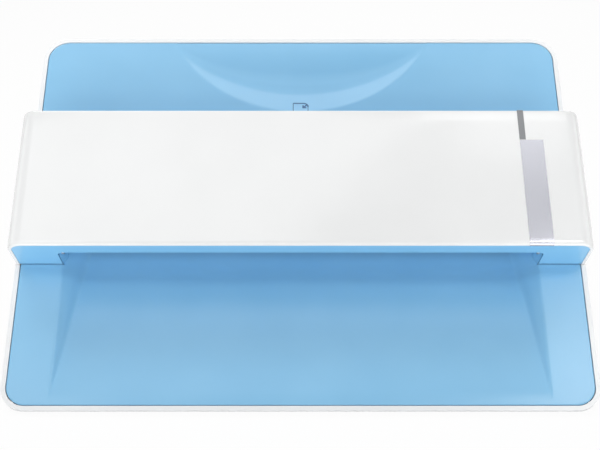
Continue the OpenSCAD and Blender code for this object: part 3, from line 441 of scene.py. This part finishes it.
@dataclass
class Sheet:
    """Moulded sheet of even thickness over a grid of rows up the path and columns across it."""

    rows: np.ndarray
    columns: np.ndarray
    reach: Callable[[np.ndarray], np.ndarray]
    face: Callable[[np.ndarray, np.ndarray], np.ndarray]
    thick: float
    hole: tuple[float, float, float, float] | None = None

    def build(self) -> tuple[np.ndarray, Faces]:
        """Builds the closed sheet.

        Returns:
            Points in the path's frame, and faces.
        """
        s, share = np.meshgrid(self.rows, self.columns / self.columns[-1], indexing="ij")
        x = share * self.reach(s)
        t = self.face(x, s)
        n, m = s.shape
        top = np.stack([x, s, t], -1).reshape(-1, 3)
        points = np.concatenate([top, top - [0, 0, self.thick]])
        kept = np.ones((n + 1, m + 1), bool)
        kept[[0, n]] = False
        kept[:, [0, m]] = False
        if self.hole is not None:
            x0, x1, s0, s1 = self.hole
            mid_x = (x[:-1, :-1] + x[1:, 1:]) / 2
            mid_s = (s[:-1, :-1] + s[1:, 1:]) / 2
            inside = (mid_x > x0) & (mid_x < x1) & (mid_s > s0) & (mid_s < s1)
            kept[1:n, 1:m] &= ~inside
        under = n * m
        faces: Faces = []
        for i in range(n - 1):
            for j in range(m - 1):
                if not kept[i + 1, j + 1]:
                    continue
                a, b, c, d = i * m + j, i * m + j + 1, (i + 1) * m + j + 1, (i + 1) * m + j
                faces.append((a, b, c, d))
                faces.append((d + under, c + under, b + under, a + under))
                edges = ((a, b, kept[i, j + 1]), (b, c, kept[i + 1, j + 2]),
                         (c, d, kept[i + 2, j + 1]), (d, a, kept[i + 1, j]))
                faces += [(q, p, p + under, q + under) for p, q, shared in edges if not shared]
        return points, faces


def rolled_edge(gap: np.ndarray, radius: float) -> np.ndarray:
    """How far a rounded edge lies under the flat face.

    Args:
        gap: Distance in from the outline.
        radius: Radius of the edge.

    Returns:
        The drop at each place.
    """
    inside = np.clip(radius - gap, 0, radius)
    return radius - np.sqrt(radius ** 2 - inside ** 2)


def edge_steps(radius: float) -> np.ndarray:
    """Distances in from an outline that draw its rounded edge well."""
    return radius * (1 - np.cos(np.linspace(0, math.pi / 2, 5)))


def extrusion(outline: Sequence[Place], x0: float, x1: float,
              right: Sequence[Place] | None = None) -> tuple[np.ndarray, Faces]:
    """Plate with an outline in s and t, drawn out across the scanner.

    Args:
        outline: Corners, counter-clockwise as seen from +x.
        x0: Left face.
        x1: Right face.
        right: Corners of the right face, where they differ from those of the left.

    Returns:
        Points in the path's frame, and faces.
    """
    n = len(outline)
    ends = ((x0, outline), (x1, right or outline))
    points = np.array([(x, s, t) for x, line in ends for s, t in line])
    faces: Faces = [tuple(range(n))[::-1], tuple(range(n, 2 * n))]
    faces += [(i, (i + 1) % n, n + (i + 1) % n, n + i) for i in range(n)]
    return points, faces


@dataclass
class Softened:
    """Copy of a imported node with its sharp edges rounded, as a mould leaves them.

    Corners closer than weld_m become one, and faces that turn by less than flat_deg are joined. Edges that
    turn by more than edge_deg are rounded, and those of the result by more than sharp_deg stay sharp.
    """

    node: str
    finish: Finish
    radius_mm: float
    steps: int = 2
    weld_m: float = 1e-6
    flat_deg: float = 0.4
    edge_deg: float = 35.0
    sharp_deg: float = 50.0

    def build(self) -> None:
        """Makes the copy, which stands for the node."""
        source = frame["nodes"][self.node]
        work = bmesh.new()
        work.from_mesh(source.data)
        bmesh.ops.remove_doubles(work, verts=work.verts, dist=self.weld_m)
        bmesh.ops.dissolve_limit(work, angle_limit=math.radians(self.flat_deg), verts=work.verts,
                                 edges=work.edges)
        least = math.radians(self.edge_deg)
        sharp = [e for e in work.edges if len(e.link_faces) == 2 and e.calc_face_angle(0) > least]
        bmesh.ops.bevel(work, geom=sharp, offset=self.radius_mm * MM, offset_type="OFFSET",
                        segments=self.steps, profile=0.5, affect="EDGES", clamp_overlap=True, loop_slide=True)
        mesh = bpy.data.meshes.new(self.node + "_soft")
        work.to_mesh(mesh)
        work.free()
        made = show(mesh, self.finish, source["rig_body"], self.sharp_deg)
        made.modifiers.new("even_flats", "WEIGHTED_NORMAL").keep_sharp = True
        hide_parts(self.node)


def dress(node: str, finish: Finish) -> None:
    """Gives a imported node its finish, with its shape as it is.

    Args:
        node: Name of the node.
        finish: Finish that it wears.
    """
    shown = frame["nodes"][node]
    shown.data.materials.clear()
    shown.data.materials.append(finish.material())
    LOG.info("%s: %s", node, finish.name)


@dataclass
class Housing:
    """White shell with its base, feet and screws."""

    rim_radius: float = 0.35
    base_radius: float = 0.3

    def build(self) -> None:
        """Dresses the shell and what stands under it."""
        Softened("main_housing", HOUSING_WHITE, self.rim_radius).build()
        Softened("base_plate", HOUSING_WHITE, self.base_radius).build()
        Softened("rubber_feet", GRIP_RUBBER, self.base_radius).build()
        dress("base_screws", BRIGHT_STEEL)


@dataclass
class Tray:
    """Blue tray with the sunk ramp that the sheet slides out on.

    Each wall of the ramp is wall_run times as wide as it is deep. It drops evenly by wall_lean of its depth,
    and the rest of the drop comes late. The ears hold the hinge pins.
    """

    outline: RoundedEnd = RoundedEnd(half_w=142.3, end=0.4, corner_r=9.3, towards=-1)
    fold: float = 73.5
    end: float = 85.5
    mouth_x: float = 121.0
    ramp_start: float = 5.0
    ramp_depth: float = 10.0
    least_depth: float = 0.1
    wall_run: float = 1.15
    wall_lean: float = 0.7
    wall_end: float = 1.5
    fold_blend: tuple[float, float] = (0.2, 0.25)
    brim_blend: float = 0.35
    thick: float = 1.8
    edge_r: float = 0.3
    tub_half: float = 120.4
    tub_top: float = -1.0
    tub_gap: float = 0.4
    tub_blend: float = 0.2
    tub_rows: int = 14
    ledge_x: tuple[float, float] = (121.0, 141.9)
    ledge_s: tuple[float, float] = (-0.5, 1.1)
    ledge_t: tuple[float, float] = (-1.8, -0.6)
    cheek_x: tuple[float, float] = (118.6, 120.6)
    cheek_r: float = 3.0
    cheek_set_back: float = -1.2
    cheek_steps: int = 17
    hinge: Place = (76.9, 9.0)
    column_bands: tuple[Band, ...] = ((0, 104, 4.0), (104, 126, 0.5), (126, 141.6, 1.5))
    row_bands: tuple[Band, ...] = ((1.2, 10, 0.4), (10, 73.5, 1.0))

    def ramp(self, x: np.ndarray, s: np.ndarray) -> np.ndarray:
        """Height of the ramp: a rising floor between two walls that steepen downwards to a fading fold."""
        floor = -self.ramp_depth * (s - self.ramp_start) / (self.end - self.ramp_start)
        deep = np.maximum(-floor, self.least_depth)
        into = self.mouth_x - np.abs(x)
        share = np.clip(into / (self.wall_run * deep), 0, self.wall_end)
        drop = deep * (self.wall_lean * share + (1 - self.wall_lean) * share ** 3)
        wall = np.where(into < 0, -into, -drop)
        least, grows = self.fold_blend
        return soft_max(floor, wall, least + grows * deep)

    def face(self, x: np.ndarray, s: np.ndarray) -> np.ndarray:
        """Height of the tray's face."""
        flat = np.zeros_like(x)
        edge = rolled_edge(self.outline.gap(x, s), self.edge_r)
        return soft_min(flat, self.ramp(x, s), self.brim_blend) - edge

    def tub_face(self, x: np.ndarray, s: np.ndarray) -> np.ndarray:
        """Height of the tub, which goes on with the ramp under the cover."""
        return soft_min(np.full_like(x, self.tub_top), self.ramp(x, s), self.tub_blend)

    def cheek(self, front: float) -> list[Place]:
        """Outline of an ear, no further forward of its pin than front."""
        s, t = self.hinge
        r = self.cheek_r
        turn = np.linspace(0, math.pi, self.cheek_steps)
        outline = [(s - r, -self.ramp_depth), (s + r, -self.ramp_depth),
                   *[(s + r * math.cos(a), t + r * math.sin(a)) for a in turn]]
        return [(max(a, s - front), b) for a, b in outline]

    def ears(self) -> list[tuple[np.ndarray, Faces]]:
        """Builds the ears, whose front edges slope back towards the mouth."""
        inner, outer = self.cheek(self.cheek_set_back), self.cheek(self.cheek_r)
        near, far = self.cheek_x
        return [extrusion(outer, -far, -near, inner), extrusion(inner, near, far, outer)]

    def ledges(self) -> list[tuple[np.ndarray, Faces]]:
        """Builds the narrow ledges at the fold, on both sides of the mouth."""
        (s0, s1), (low, top), (near, far) = self.ledge_s, self.ledge_t, self.ledge_x
        corners = ((s0, low), (s1, low), (s1, top), (s0, top))
        bar = [(self.fold + s, t) for s, t in corners]
        return [extrusion(bar, -far, -near), extrusion(bar, near, far)]

    def build(self) -> None:
        """Builds the tray with its tub under the cover, the ears and the ledges."""
        edge = edge_steps(self.edge_r)
        half = np.concatenate([*bands(self.column_bands), self.outline.half_w - edge[::-1]])
        rows = grid_lines(self.outline.end + edge, *bands(self.row_bands), [self.fold])
        plate = Sheet(rows, grid_lines(-half, half), self.outline.reach, self.face, self.thick)
        within = half[half < self.tub_half]
        tub_rows = np.linspace(self.fold, self.end - self.tub_gap, self.tub_rows)
        tub = Sheet(tub_rows, grid_lines(-within, within, [-self.tub_half, self.tub_half]),
                    lambda s: np.full_like(s, self.tub_half), self.tub_face, self.thick)
        points, faces = join_parts([plate.build(), tub.build(), *self.ears(), *self.ledges()])
        made = make_piece("tray_moulding", points, faces, LINER_BLUE, "chassis")
        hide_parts("tray_liner")


@dataclass
class FeedPanel:
    """Blue panel that the sheet is laid on, with its thumb scoop, guide slot and printed page sign."""

    outline: RoundedEnd = RoundedEnd(half_w=142.3, end=213.3, corner_r=11.3, towards=1)
    level: float = -6.5
    thick: float = 1.8
    edge_r: float = 0.3
    scoop_top: float = 208.5
    scoop_mid: float = 248.3
    scoop_r: float = 80.3
    bowl_w: float = 40.0
    bowl_depth: float = 6.0
    bowl_run: float = 0.2
    run_soft: float = 5.0
    bowl_blend: tuple[float, float] = (0.01, 0.9)
    slot: tuple[float, float, float, float] = (-33.0, 121.0, 154.0, 157.0)
    sign_half: float = 4.1
    sign_low: float = 163.3
    sign_high: float = 174.2
    sign_curl: float = 2.6
    sign_curl_steps: int = 9
    # Stem and barbs of the arrow, from the sign's upper right corner
    arrow: tuple[tuple[Place, Place], ...] = (
        ((-0.7, -1.2), (-2.5, -3.2)), ((-2.7, -1.5), (-2.7, -3.6)), ((-3.0, -3.4), (-0.9, -3.4)))
    ink_line: float = 0.4
    ink_bold: float = 0.85
    ink_rise: float = 0.04
    ink_step: float = 0.8
    ink_corner: float = 0.01
    guide_radius: float = 0.3
    column_bands: tuple[Band, ...] = ((0, 141.6, 1.5),)
    row_bands: tuple[Band, ...] = ((143.5, 168, 1.5), (168, 202, 1.0), (202, 212.6, 0.4))

    def face(self, x: np.ndarray, s: np.ndarray) -> np.ndarray:
        """Height of the panel's face: a bowl with a crisp round rim, whose floor runs out towards the top."""
        inside = np.clip(self.scoop_r - np.hypot(x, s - self.scoop_mid), 0, self.bowl_w)
        bowl = self.bowl_depth * (1 - (1 - inside / self.bowl_w) ** 2)
        below = self.scoop_top - s
        floor = self.bowl_run * (below + np.hypot(below, self.run_soft)) / 2
        least, grows = self.bowl_blend
        scoop = soft_min(bowl, floor, least + grows * np.minimum(bowl, floor))
        return self.level - scoop - rolled_edge(self.outline.gap(x, s), self.edge_r)

    def stroke(self, line: Sequence[Place], width: float) -> tuple[np.ndarray, Faces]:
        """Printed line that lies on the panel.

        Args:
            line: Places in x and s that it goes through.
            width: Width of the line.

        Returns:
            Points in the path's frame, and faces.
        """
        places = np.array(line)
        way = np.gradient(places, axis=0)
        across = np.stack([-way[:, 1], way[:, 0]], 1)
        side = across / np.linalg.norm(way, axis=1)[:, None] * width / 2
        flat = np.concatenate([places + side, places - side])
        t = self.face(flat[:, 0], flat[:, 1]) + self.ink_rise
        n = len(places)
        return np.column_stack([flat, t]), [(i, n + i, n + i + 1, i + 1) for i in range(n - 1)]

    def sign(self) -> None:
        """Prints the page sign: a page whose upper right corner curls over, with an arrow in the curl."""
        w, low, high = self.sign_half, self.sign_low, self.sign_high
        curl, bit = self.sign_curl, self.ink_corner
        turn = [(w - curl + curl * math.sin(a), high - curl + curl * math.cos(a))
                for a in np.linspace(0, math.pi / 2, self.sign_curl_steps)]
        top = [(-w, high), (w - curl, high), *turn]
        foot = [(-w, low + bit), (-w + bit, low), (w - bit, low), (w, low + bit)]
        sides = [(-w, high), *foot, (w, high - curl)]
        arrow = [[(w + x, high + s) for x, s in line] for line in self.arrow]
        lines = [(sides, self.ink_line), *[(line, self.ink_bold) for line in (top, *arrow)]]
        points, faces = join_parts(self.stroke(self.refined(line), width) for line, width in lines)
        make_piece("page_sign", points, faces, SIGN_INK, "chassis")

    def refined(self, line: Sequence[Place]) -> list[Place]:
        """Adds places to a line so that it follows the panel's curve."""
        out: list[Place] = []
        for (x0, s0), (x1, s1) in zip(line, line[1:]):
            steps = max(1, round(math.hypot(x1 - x0, s1 - s0) / self.ink_step))
            out += [(x0 + (x1 - x0) * k / steps, s0 + (s1 - s0) * k / steps) for k in range(steps)]
        return [*out, line[-1]]

    def build(self) -> None:
        """Builds the panel and its sign, and dresses the guide."""
        edge = edge_steps(self.edge_r)
        half = np.concatenate([*bands(self.column_bands), self.outline.half_w - edge[::-1]])
        columns = grid_lines(-half, half, self.slot[:2])
        rows = grid_lines(*bands(self.row_bands), self.slot[2:], self.outline.end - edge)
        points, faces = Sheet(rows, columns, self.outline.reach, self.face, self.thick, self.slot).build()
        made = make_piece("feed_panel_moulding", points, faces, LINER_BLUE, "chassis")
        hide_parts("feed_panel")
        self.sign()
        Softened("width_guide", LINER_BLUE, self.guide_radius).build()


@dataclass
class Cover:
    """White bar that swings open, with its blue inner moulding, trim and pinch sets."""

    half_w: float = 145.0
    low: float = 0.2
    high: float = 24.5
    corner_r: float = 8.0
    wall: float = 2.3
    start: float = 73.5
    end: float = 150.0
    corner_steps: int = 13
    leg_steps: int = 6
    face_steps: int = 41
    lip_r: float = 1.0
    lip_steps: int = 5
    nose: tuple[float, float] = (2.0, 1.1)
    rebate: tuple[float, float] = (76.2, 1.1)
    even_rings: tuple[float, float, int] = (80.0, 128.0, 7)
    last_ring: float = 140.0
    hair: float = 0.01
    window: tuple[float, float, float] = (111.98, 115.22, 132.48)
    plate: tuple[float, float, float] = (112.0, 124.0, 132.18)
    plate_rise: float = 0.15
    plate_sunk: float = 0.3
    plate_foot: float = 0.4
    plate_lines: tuple[float, float, int] = (0.3, 4.0, 8)
    bend_steps: int = 9
    screw_posts: tuple[Place, ...] = ((-60, 102.5), (-60, 122.5), (60, 102.5), (60, 122.5))
    post_r: float = 3.0
    post_low: float = -1.9
    post_chamfer: float = 0.3
    post_draft: float = 0.2
    post_sides: int = 24
    edge_radius: float = 0.3
    window_radius: float = 0.15

    def section(self) -> tuple[np.ndarray, np.ndarray]:
        """Outer line of the cross-section and the direction out of it at each point.

        Returns:
            Points and unit directions, both in x and t, from the lower left round to the lower right.
        """
        turn = np.linspace(0, math.pi / 2, self.corner_steps)
        r, w = self.corner_r, self.half_w
        leg = [(-w, t) for t in np.linspace(self.low, self.high - r, self.leg_steps)[:-1]]
        arc = [(-w + r - r * math.cos(a), self.high - r + r * math.sin(a)) for a in turn]
        evenly = np.linspace(-w + r, w - r, self.face_steps)[1:-1]
        across = np.unique(np.concatenate([evenly, self.window[:2]]))
        points = np.array([*leg, *arc, *[(x, self.high) for x in across],
                           *[(-x, t) for x, t in arc[::-1]], *[(-x, t) for x, t in leg[::-1]]])
        out = [(-1.0, 0.0)] * len(leg) + [(-math.cos(a), math.sin(a)) for a in turn]
        outward = np.array([*out, *[(0.0, 1.0)] * len(across), *[(-x, t) for x, t in out[::-1]]])
        return points, outward

    def shell(self) -> tuple[np.ndarray, Faces]:
        """Builds the bar's shell with rounded lips at both ends and the slot of the status window.

        Returns:
            Points in the path's frame, and faces.
        """
        line, out = self.section()
        turn = np.linspace(0, math.pi / 2, self.lip_steps)
        lead = [(self.nose[0] * (1 - math.cos(a)), self.nose[1] * (1 - math.sin(a))) for a in turn]
        tail = [(self.lip_r * (1 - math.cos(a)), self.lip_r * (1 - math.sin(a))) for a in turn]
        step, lift = self.rebate
        places = (step, step + self.hair, *np.linspace(*self.even_rings), self.window[2], self.last_ring)
        middle = [(s - self.start, 0.0) for s in places]
        length = self.end - self.start
        rings = [*lead, *middle, *[(length - s, inset) for s, inset in tail[::-1]]]
        m, n = len(line), len(rings)
        raised = np.clip((line[:, 1] - self.low) / (self.high - self.corner_r - self.low), 0, 1) * lift

        def ring(s: float, inset: float, up: np.ndarray | float = 0.0) -> np.ndarray:
            """One ring of the shell at a distance up from its start."""
            place = line - out * inset
            return np.column_stack([place[:, 0], np.full(m, self.start + s), place[:, 1] + up])

        within = [ring(s, self.wall, raised if s + self.start <= step else 0.0) for s, _ in rings]
        points = np.concatenate([ring(s, inset) for s, inset in rings] + within)
        under = n * m
        mid_x = (line[:-1, 0] + line[1:, 0]) / 2
        on_face = line[:-1, 1] > self.high - self.hair
        cut = (mid_x > self.window[0]) & (mid_x < self.window[1]) & on_face
        window_start = self.window[2] - self.start - self.hair
        first = next(i for i, (s, _) in enumerate(rings) if s > window_start)
        faces: Faces = []
        for i in range(n - 1):
            for j in range(m - 1):
                if cut[j] and i >= first:
                    continue
                a, b, c, d = i * m + j, i * m + j + 1, (i + 1) * m + j + 1, (i + 1) * m + j
                faces += [(a, b, c, d)[::-1], (a + under, b + under, c + under, d + under)]
            for j in (0, m - 1):
                a, d = i * m + j, (i + 1) * m + j
                faces.append((a, d, d + under, a + under) if j == 0 else (d, a, a + under, d + under))
        for j in range(m - 1):
            faces.append((j, j + 1, j + 1 + under, j + under))
            if not cut[j]:
                a = (n - 1) * m + j
                faces.append((a + 1, a, a + under, a + 1 + under))
        j0, j1 = int(np.argmax(cut)), int(np.argmax(cut)) + int(cut.sum())
        for i in range(first, n - 1):
            for j in (j0, j1):
                a, d = i * m + j, (i + 1) * m + j
                faces.append((a, d, d + under, a + under) if j == j1 else (d, a, a + under, d + under))
        faces += [(first * m + j, first * m + j + 1, first * m + j + 1 + under, first * m + j + under)
                  for j in range(j0, j1)]
        return points, faces

    def post(self, x: float, s: float) -> tuple[np.ndarray, Faces]:
        """Screw post inside the bar.

        Args:
            x: Place across the bar.
            s: Place up the path.

        Returns:
            Points in the path's frame, and faces.
        """
        turn = np.linspace(0, 2 * math.pi, self.post_sides + 1)[:-1]
        rings = [(self.post_low, self.post_r - self.post_chamfer),
                 (self.post_low + self.post_chamfer, self.post_r),
                 (self.high - self.wall, self.post_r + self.post_draft)]
        points = np.array([(x + r * math.cos(a), s + r * math.sin(a), t) for t, r in rings for a in turn])
        n = len(turn)
        faces: Faces = [(k * n + i, k * n + (i + 1) % n, (k + 1) * n + (i + 1) % n, (k + 1) * n + i)
                        for k in (0, 1) for i in range(n)]
        return points, [tuple(range(n))[::-1], *faces]

    def trim(self) -> None:
        """Builds the thin plate that lies on the bar and bends round its lower lip."""
        long, deep = self.nose
        x0, x1, end = self.plate
        rise, under = self.plate_rise, self.high - self.plate_sunk
        first, last, count = self.plate_lines
        face = [(s, self.high + rise) for s in (end, *np.linspace(end - first, self.start + last, count))]
        bend = [(self.start + long - (long + rise) * math.sin(a),
                 self.high - deep + (deep + rise) * math.cos(a))
                for a in np.linspace(0, math.pi / 2, self.bend_steps)]
        back = [(self.start + self.plate_foot, self.high - deep), (self.start + long, under), (end, under)]
        points, faces = extrusion([*face, *bend, *back], x0, x1)
        made = make_piece("trim_strip", points, faces, TRIM_SILVER, "cover")
        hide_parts("trim_plate")

    def build(self) -> None:
        """Builds the bar and dresses everything that swings with it."""
        points, faces = join_parts([self.shell(), *[self.post(x, s) for x, s in self.screw_posts]])
        made = make_piece("cover_bar", points, faces, COVER_WHITE, "cover")
        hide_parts("front_cover")
        Softened("cover_inner", LINER_BLUE, self.edge_radius).build()
        self.trim()
        Softened("status_window", WINDOW_GREY, self.window_radius).build()
        dress("cover_screws", BRIGHT_STEEL)
        dress("status_board", BOARD_GREEN)
        dress("background_plate", HOUSING_WHITE)
        for pair in ("exit", "feed"):
            dress(f"{pair}_pinch_axle", BRIGHT_STEEL)
            Softened(f"{pair}_pinch_rollers", GRIP_RUBBER, self.edge_radius).build()
            Softened(f"{pair}_pinch_blocks", GEAR_ACETAL, self.edge_radius).build()
            dress(f"{pair}_pinch_springs", BRIGHT_STEEL)


@dataclass
class Engine:
    """What lies inside: bed, optics, drive and electronics."""

    plain: dict[str, Finish] = field(default_factory=lambda: {
        "chassis_screws": BRIGHT_STEEL, "scan_glass": BED_GLASS, "optics_housing": FRAME_BLACK,
        "light_bar": GEAR_ACETAL, "fold_mirrors": MIRROR_GLASS, "scan_lens": FRAME_BLACK,
        "sensor_board": BOARD_GREEN, "sensor_chip": CHIP_BLACK, "sensor_ribbon": RIBBON_WHITE,
        "main_board": BOARD_GREEN, "board_chips": CHIP_BLACK, "board_screws": BRIGHT_STEEL,
        "power_switch": FRAME_BLACK, "motor_screws": BRIGHT_STEEL, "motor_pinion": PINION_BRASS,
        "reduction_gear": GEAR_ACETAL, "transfer_gear": GEAR_ACETAL, "gear_axles": BRIGHT_STEEL,
        "exit_shaft": BRIGHT_STEEL, "exit_gear": GEAR_ACETAL, "feed_shaft": BRIGHT_STEEL,
        "feed_gear": GEAR_ACETAL, "shaft_bushes": GEAR_ACETAL, "flag_sensor": FRAME_BLACK,
        "hinge_pins": BRIGHT_STEEL})
    rounded: dict[str, tuple[Finish, float]] = field(default_factory=lambda: {
        "scan_bed": (FRAME_BLACK, 0.3), "left_side_plate": (BRIGHT_STEEL, 0.2),
        "right_side_plate": (BRIGHT_STEEL, 0.2), "usb_socket": (BRIGHT_STEEL, 0.2),
        "power_jack": (FRAME_BLACK, 0.2), "power_button": (BUTTON_GREY, 0.3),
        "feed_motor": (MOTOR_CAN, 0.4), "exit_rollers": (GRIP_RUBBER, 0.4),
        "feed_rollers": (GRIP_RUBBER, 0.4), "paper_flag": (FRAME_BLACK, 0.2)})

    def build(self) -> None:
        """Dresses every inner piece."""
        for node, finish in self.plain.items():
            dress(node, finish)
        for node, (finish, radius) in self.rounded.items():
            Softened(node, finish, radius).build()


@dataclass
class Lamp:
    """Soft studio lamp: a lit rectangle whose face has a level, where 1 is as bright as white paper."""

    name: str
    place: tuple[float, float, float]
    size: tuple[float, float]
    level: float
    turn_deg: tuple[float, float, float] = (0.0, 0.0, 0.0)

    def build(self) -> None:
        """Hangs the lamp, which faces straight down until it is turned."""
        data = bpy.data.lights.new(self.name, "AREA")
        data.shape = "RECTANGLE"
        data.size, data.size_y = self.size
        data.energy = self.level * math.pi * data.size * data.size_y
        lamp = bpy.data.objects.new(self.name, data)
        lamp.location = self.place
        lamp.rotation_euler = [math.radians(a) for a in self.turn_deg]
        lamp.visible_camera = False
        bpy.context.scene.collection.objects.link(lamp)


def seen_share(tree: bpy.types.NodeTree) -> bpy.types.NodeSocket:
    """Tells rays from the eye, straight, mirrored or through glass, from those that only carry light.

    Args:
        tree: Tree that takes the nodes.

    Returns:
        The output that is 1 for rays from the eye and 0 for the others.
    """
    ray = add_node(tree, "ShaderNodeLightPath").outputs
    seen = add_node(tree, "ShaderNodeMath", {0: ray["Is Camera Ray"], 1: ray["Is Glossy Ray"]},
                    operation="ADD")
    shown = add_node(tree, "ShaderNodeMath", {0: seen.outputs[0], 1: ray["Is Transmission Ray"]},
                     operation="ADD", use_clamp=True)
    return shown.outputs[0]


@dataclass
class Studio:
    """Pale floor, white surround, soft lamps and the camera of the photograph."""

    ambient: float = 0.03
    floor_half: float = 30.0
    floor_white: str = "#f7f7f7"
    floor_lift: float = 0.96
    lens_mm: float = 63.84
    sensor_mm: float = 36.0
    tilt_deg: float = 18.17
    eye: tuple[float, float, float] = (0.0, -0.5359, 0.2459)
    shift: float = -0.001
    lamps: tuple[Lamp, ...] = (
        Lamp("key_softbox", (-0.75, 0.42, 1.25), (0.6, 0.4), 5.5),
        Lamp("left_top_softbox", (-0.42, 0.2, 1.25), (0.36, 0.36), 4.4),
        Lamp("right_back_softbox", (0.85, 0.45, 1.25), (0.5, 0.4), 6.0),
        Lamp("scoop_light", (0.0, 0.27, 1.25), (0.62, 0.34), 3.2),
        Lamp("bar_sheen_panel", (-0.22, -0.37, 1.25), (0.55, 0.75), 1.0, (0.0, 0.0, -38.3)),
        Lamp("bar_sheen_left", (-0.47, -0.4, 1.25), (0.32, 0.28), 1.5),
        Lamp("plate_light", (0.37, -0.3, 1.25), (0.24, 0.16), 1.0),
        Lamp("panel_sheen_right", (0.34, -0.16, 1.25), (0.3, 0.12), 2.4),
        Lamp("right_front_softbox", (0.6, -0.8, 1.25), (0.36, 0.3), 9.5, (20.0, 0.0, 0.0)),
        Lamp("left_front_softbox", (-0.6, -0.84, 1.25), (0.4, 0.2), 4.6, (20.0, 0.0, 0.0)),
        Lamp("front_softbox", (0.0, -1.3, 0.6), (1.8, 0.4), 1.7, (65.0, 0.0, 0.0)),
        Lamp("front_low_softbox", (0.0, -1.2, 0.13), (1.9, 0.24), 2.3, (90.0, 0.0, 0.0)),
        Lamp("left_reflector", (-0.45, -0.42, 0.006), (0.6, 0.5), 3.0, (180.0, 0.0, 0.0)),
        Lamp("right_reflector", (0.45, -0.42, 0.006), (0.6, 0.5), 2.8, (180.0, 0.0, 0.0)),
        Lamp("rear_softbox", (0.2, 1.7, 1.0), (1.6, 1.0), 1.5, (-60.0, 0.0, 0.0)),
        Lamp("left_side_softbox", (-1.7, 0.2, 0.7), (1.0, 0.8), 0.6, (70.0, 0.0, -90.0)),
        Lamp("right_side_softbox", (1.7, 0.2, 0.7), (1.0, 0.8), 0.6, (70.0, 0.0, 90.0)),
    )

    def surround(self) -> None:
        """Makes the world: plain white where it is seen or mirrored, and a softer level as light."""
        world = bpy.data.worlds.new("white_surround")
        bpy.context.scene.world = world
        world.use_nodes = True
        tree = world.node_tree
        tree.nodes.clear()
        level = add_node(tree, "ShaderNodeMapRange", {
            "Value": seen_share(tree), "To Min": self.ambient, "To Max": 1.0})
        light = add_node(tree, "ShaderNodeBackground", {
            "Color": (1, 1, 1, 1), "Strength": level.outputs["Result"]})
        add_node(tree, "ShaderNodeOutputWorld", {"Surface": light.outputs["Background"]})

    def floor(self) -> None:
        """Lays the floor, which takes the object's shadow and is lifted to white where it is seen."""
        h = self.floor_half
        mesh = bpy.data.meshes.new("studio_floor")
        mesh.from_pydata([(-h, -h, 0), (h, -h, 0), (h, h, 0), (-h, h, 0)], [], [(0, 1, 2, 3)])
        paper = bpy.data.materials.new("paper_sweep_matt")
        paper.use_nodes = True
        tree = paper.node_tree
        tree.nodes.clear()
        lift = add_node(tree, "ShaderNodeMath", {0: seen_share(tree), 1: self.floor_lift},
                        operation="MULTIPLY")
        matt = add_node(tree, "ShaderNodeBsdfDiffuse", {"Color": linear(self.floor_white)})
        glow = add_node(tree, "ShaderNodeEmission", {"Color": (1, 1, 1, 1), "Strength": 1.0})
        mixed = add_node(tree, "ShaderNodeMixShader", {
            0: lift.outputs[0], 1: matt.outputs["BSDF"], 2: glow.outputs["Emission"]})
        add_node(tree, "ShaderNodeOutputMaterial", {"Surface": mixed.outputs["Shader"]})
        mesh.materials.append(paper)
        floor = bpy.data.objects.new("studio_floor", mesh)
        bpy.context.scene.collection.objects.link(floor)

    def camera(self) -> None:
        """Sets the camera up where the photograph was taken from."""
        data = bpy.data.cameras.new("photo_camera")
        data.lens = self.lens_mm
        data.sensor_width = self.sensor_mm
        data.shift_x = self.shift
        eye = bpy.data.objects.new("photo_camera", data)
        eye.location = self.eye
        eye.rotation_euler = (math.radians(90 - self.tilt_deg), 0.0, 0.0)
        bpy.context.scene.collection.objects.link(eye)
        bpy.context.scene.camera = eye

    def build(self) -> None:
        """Sets the whole studio up."""
        bpy.context.scene.view_settings.view_transform = "Standard"
        self.surround()
        self.floor()
        self.camera()
        for lamp in self.lamps:
            lamp.build()


def main() -> None:
    """Builds the scanner and its studio in order."""
    logging.basicConfig(level=logging.INFO, format="%(name)s: %(message)s")
    for assembly in (Studio(), Housing(), Tray(), FeedPanel(), Cover(), Engine()):
        assembly.build()


if __name__ == "__main__":
    main()
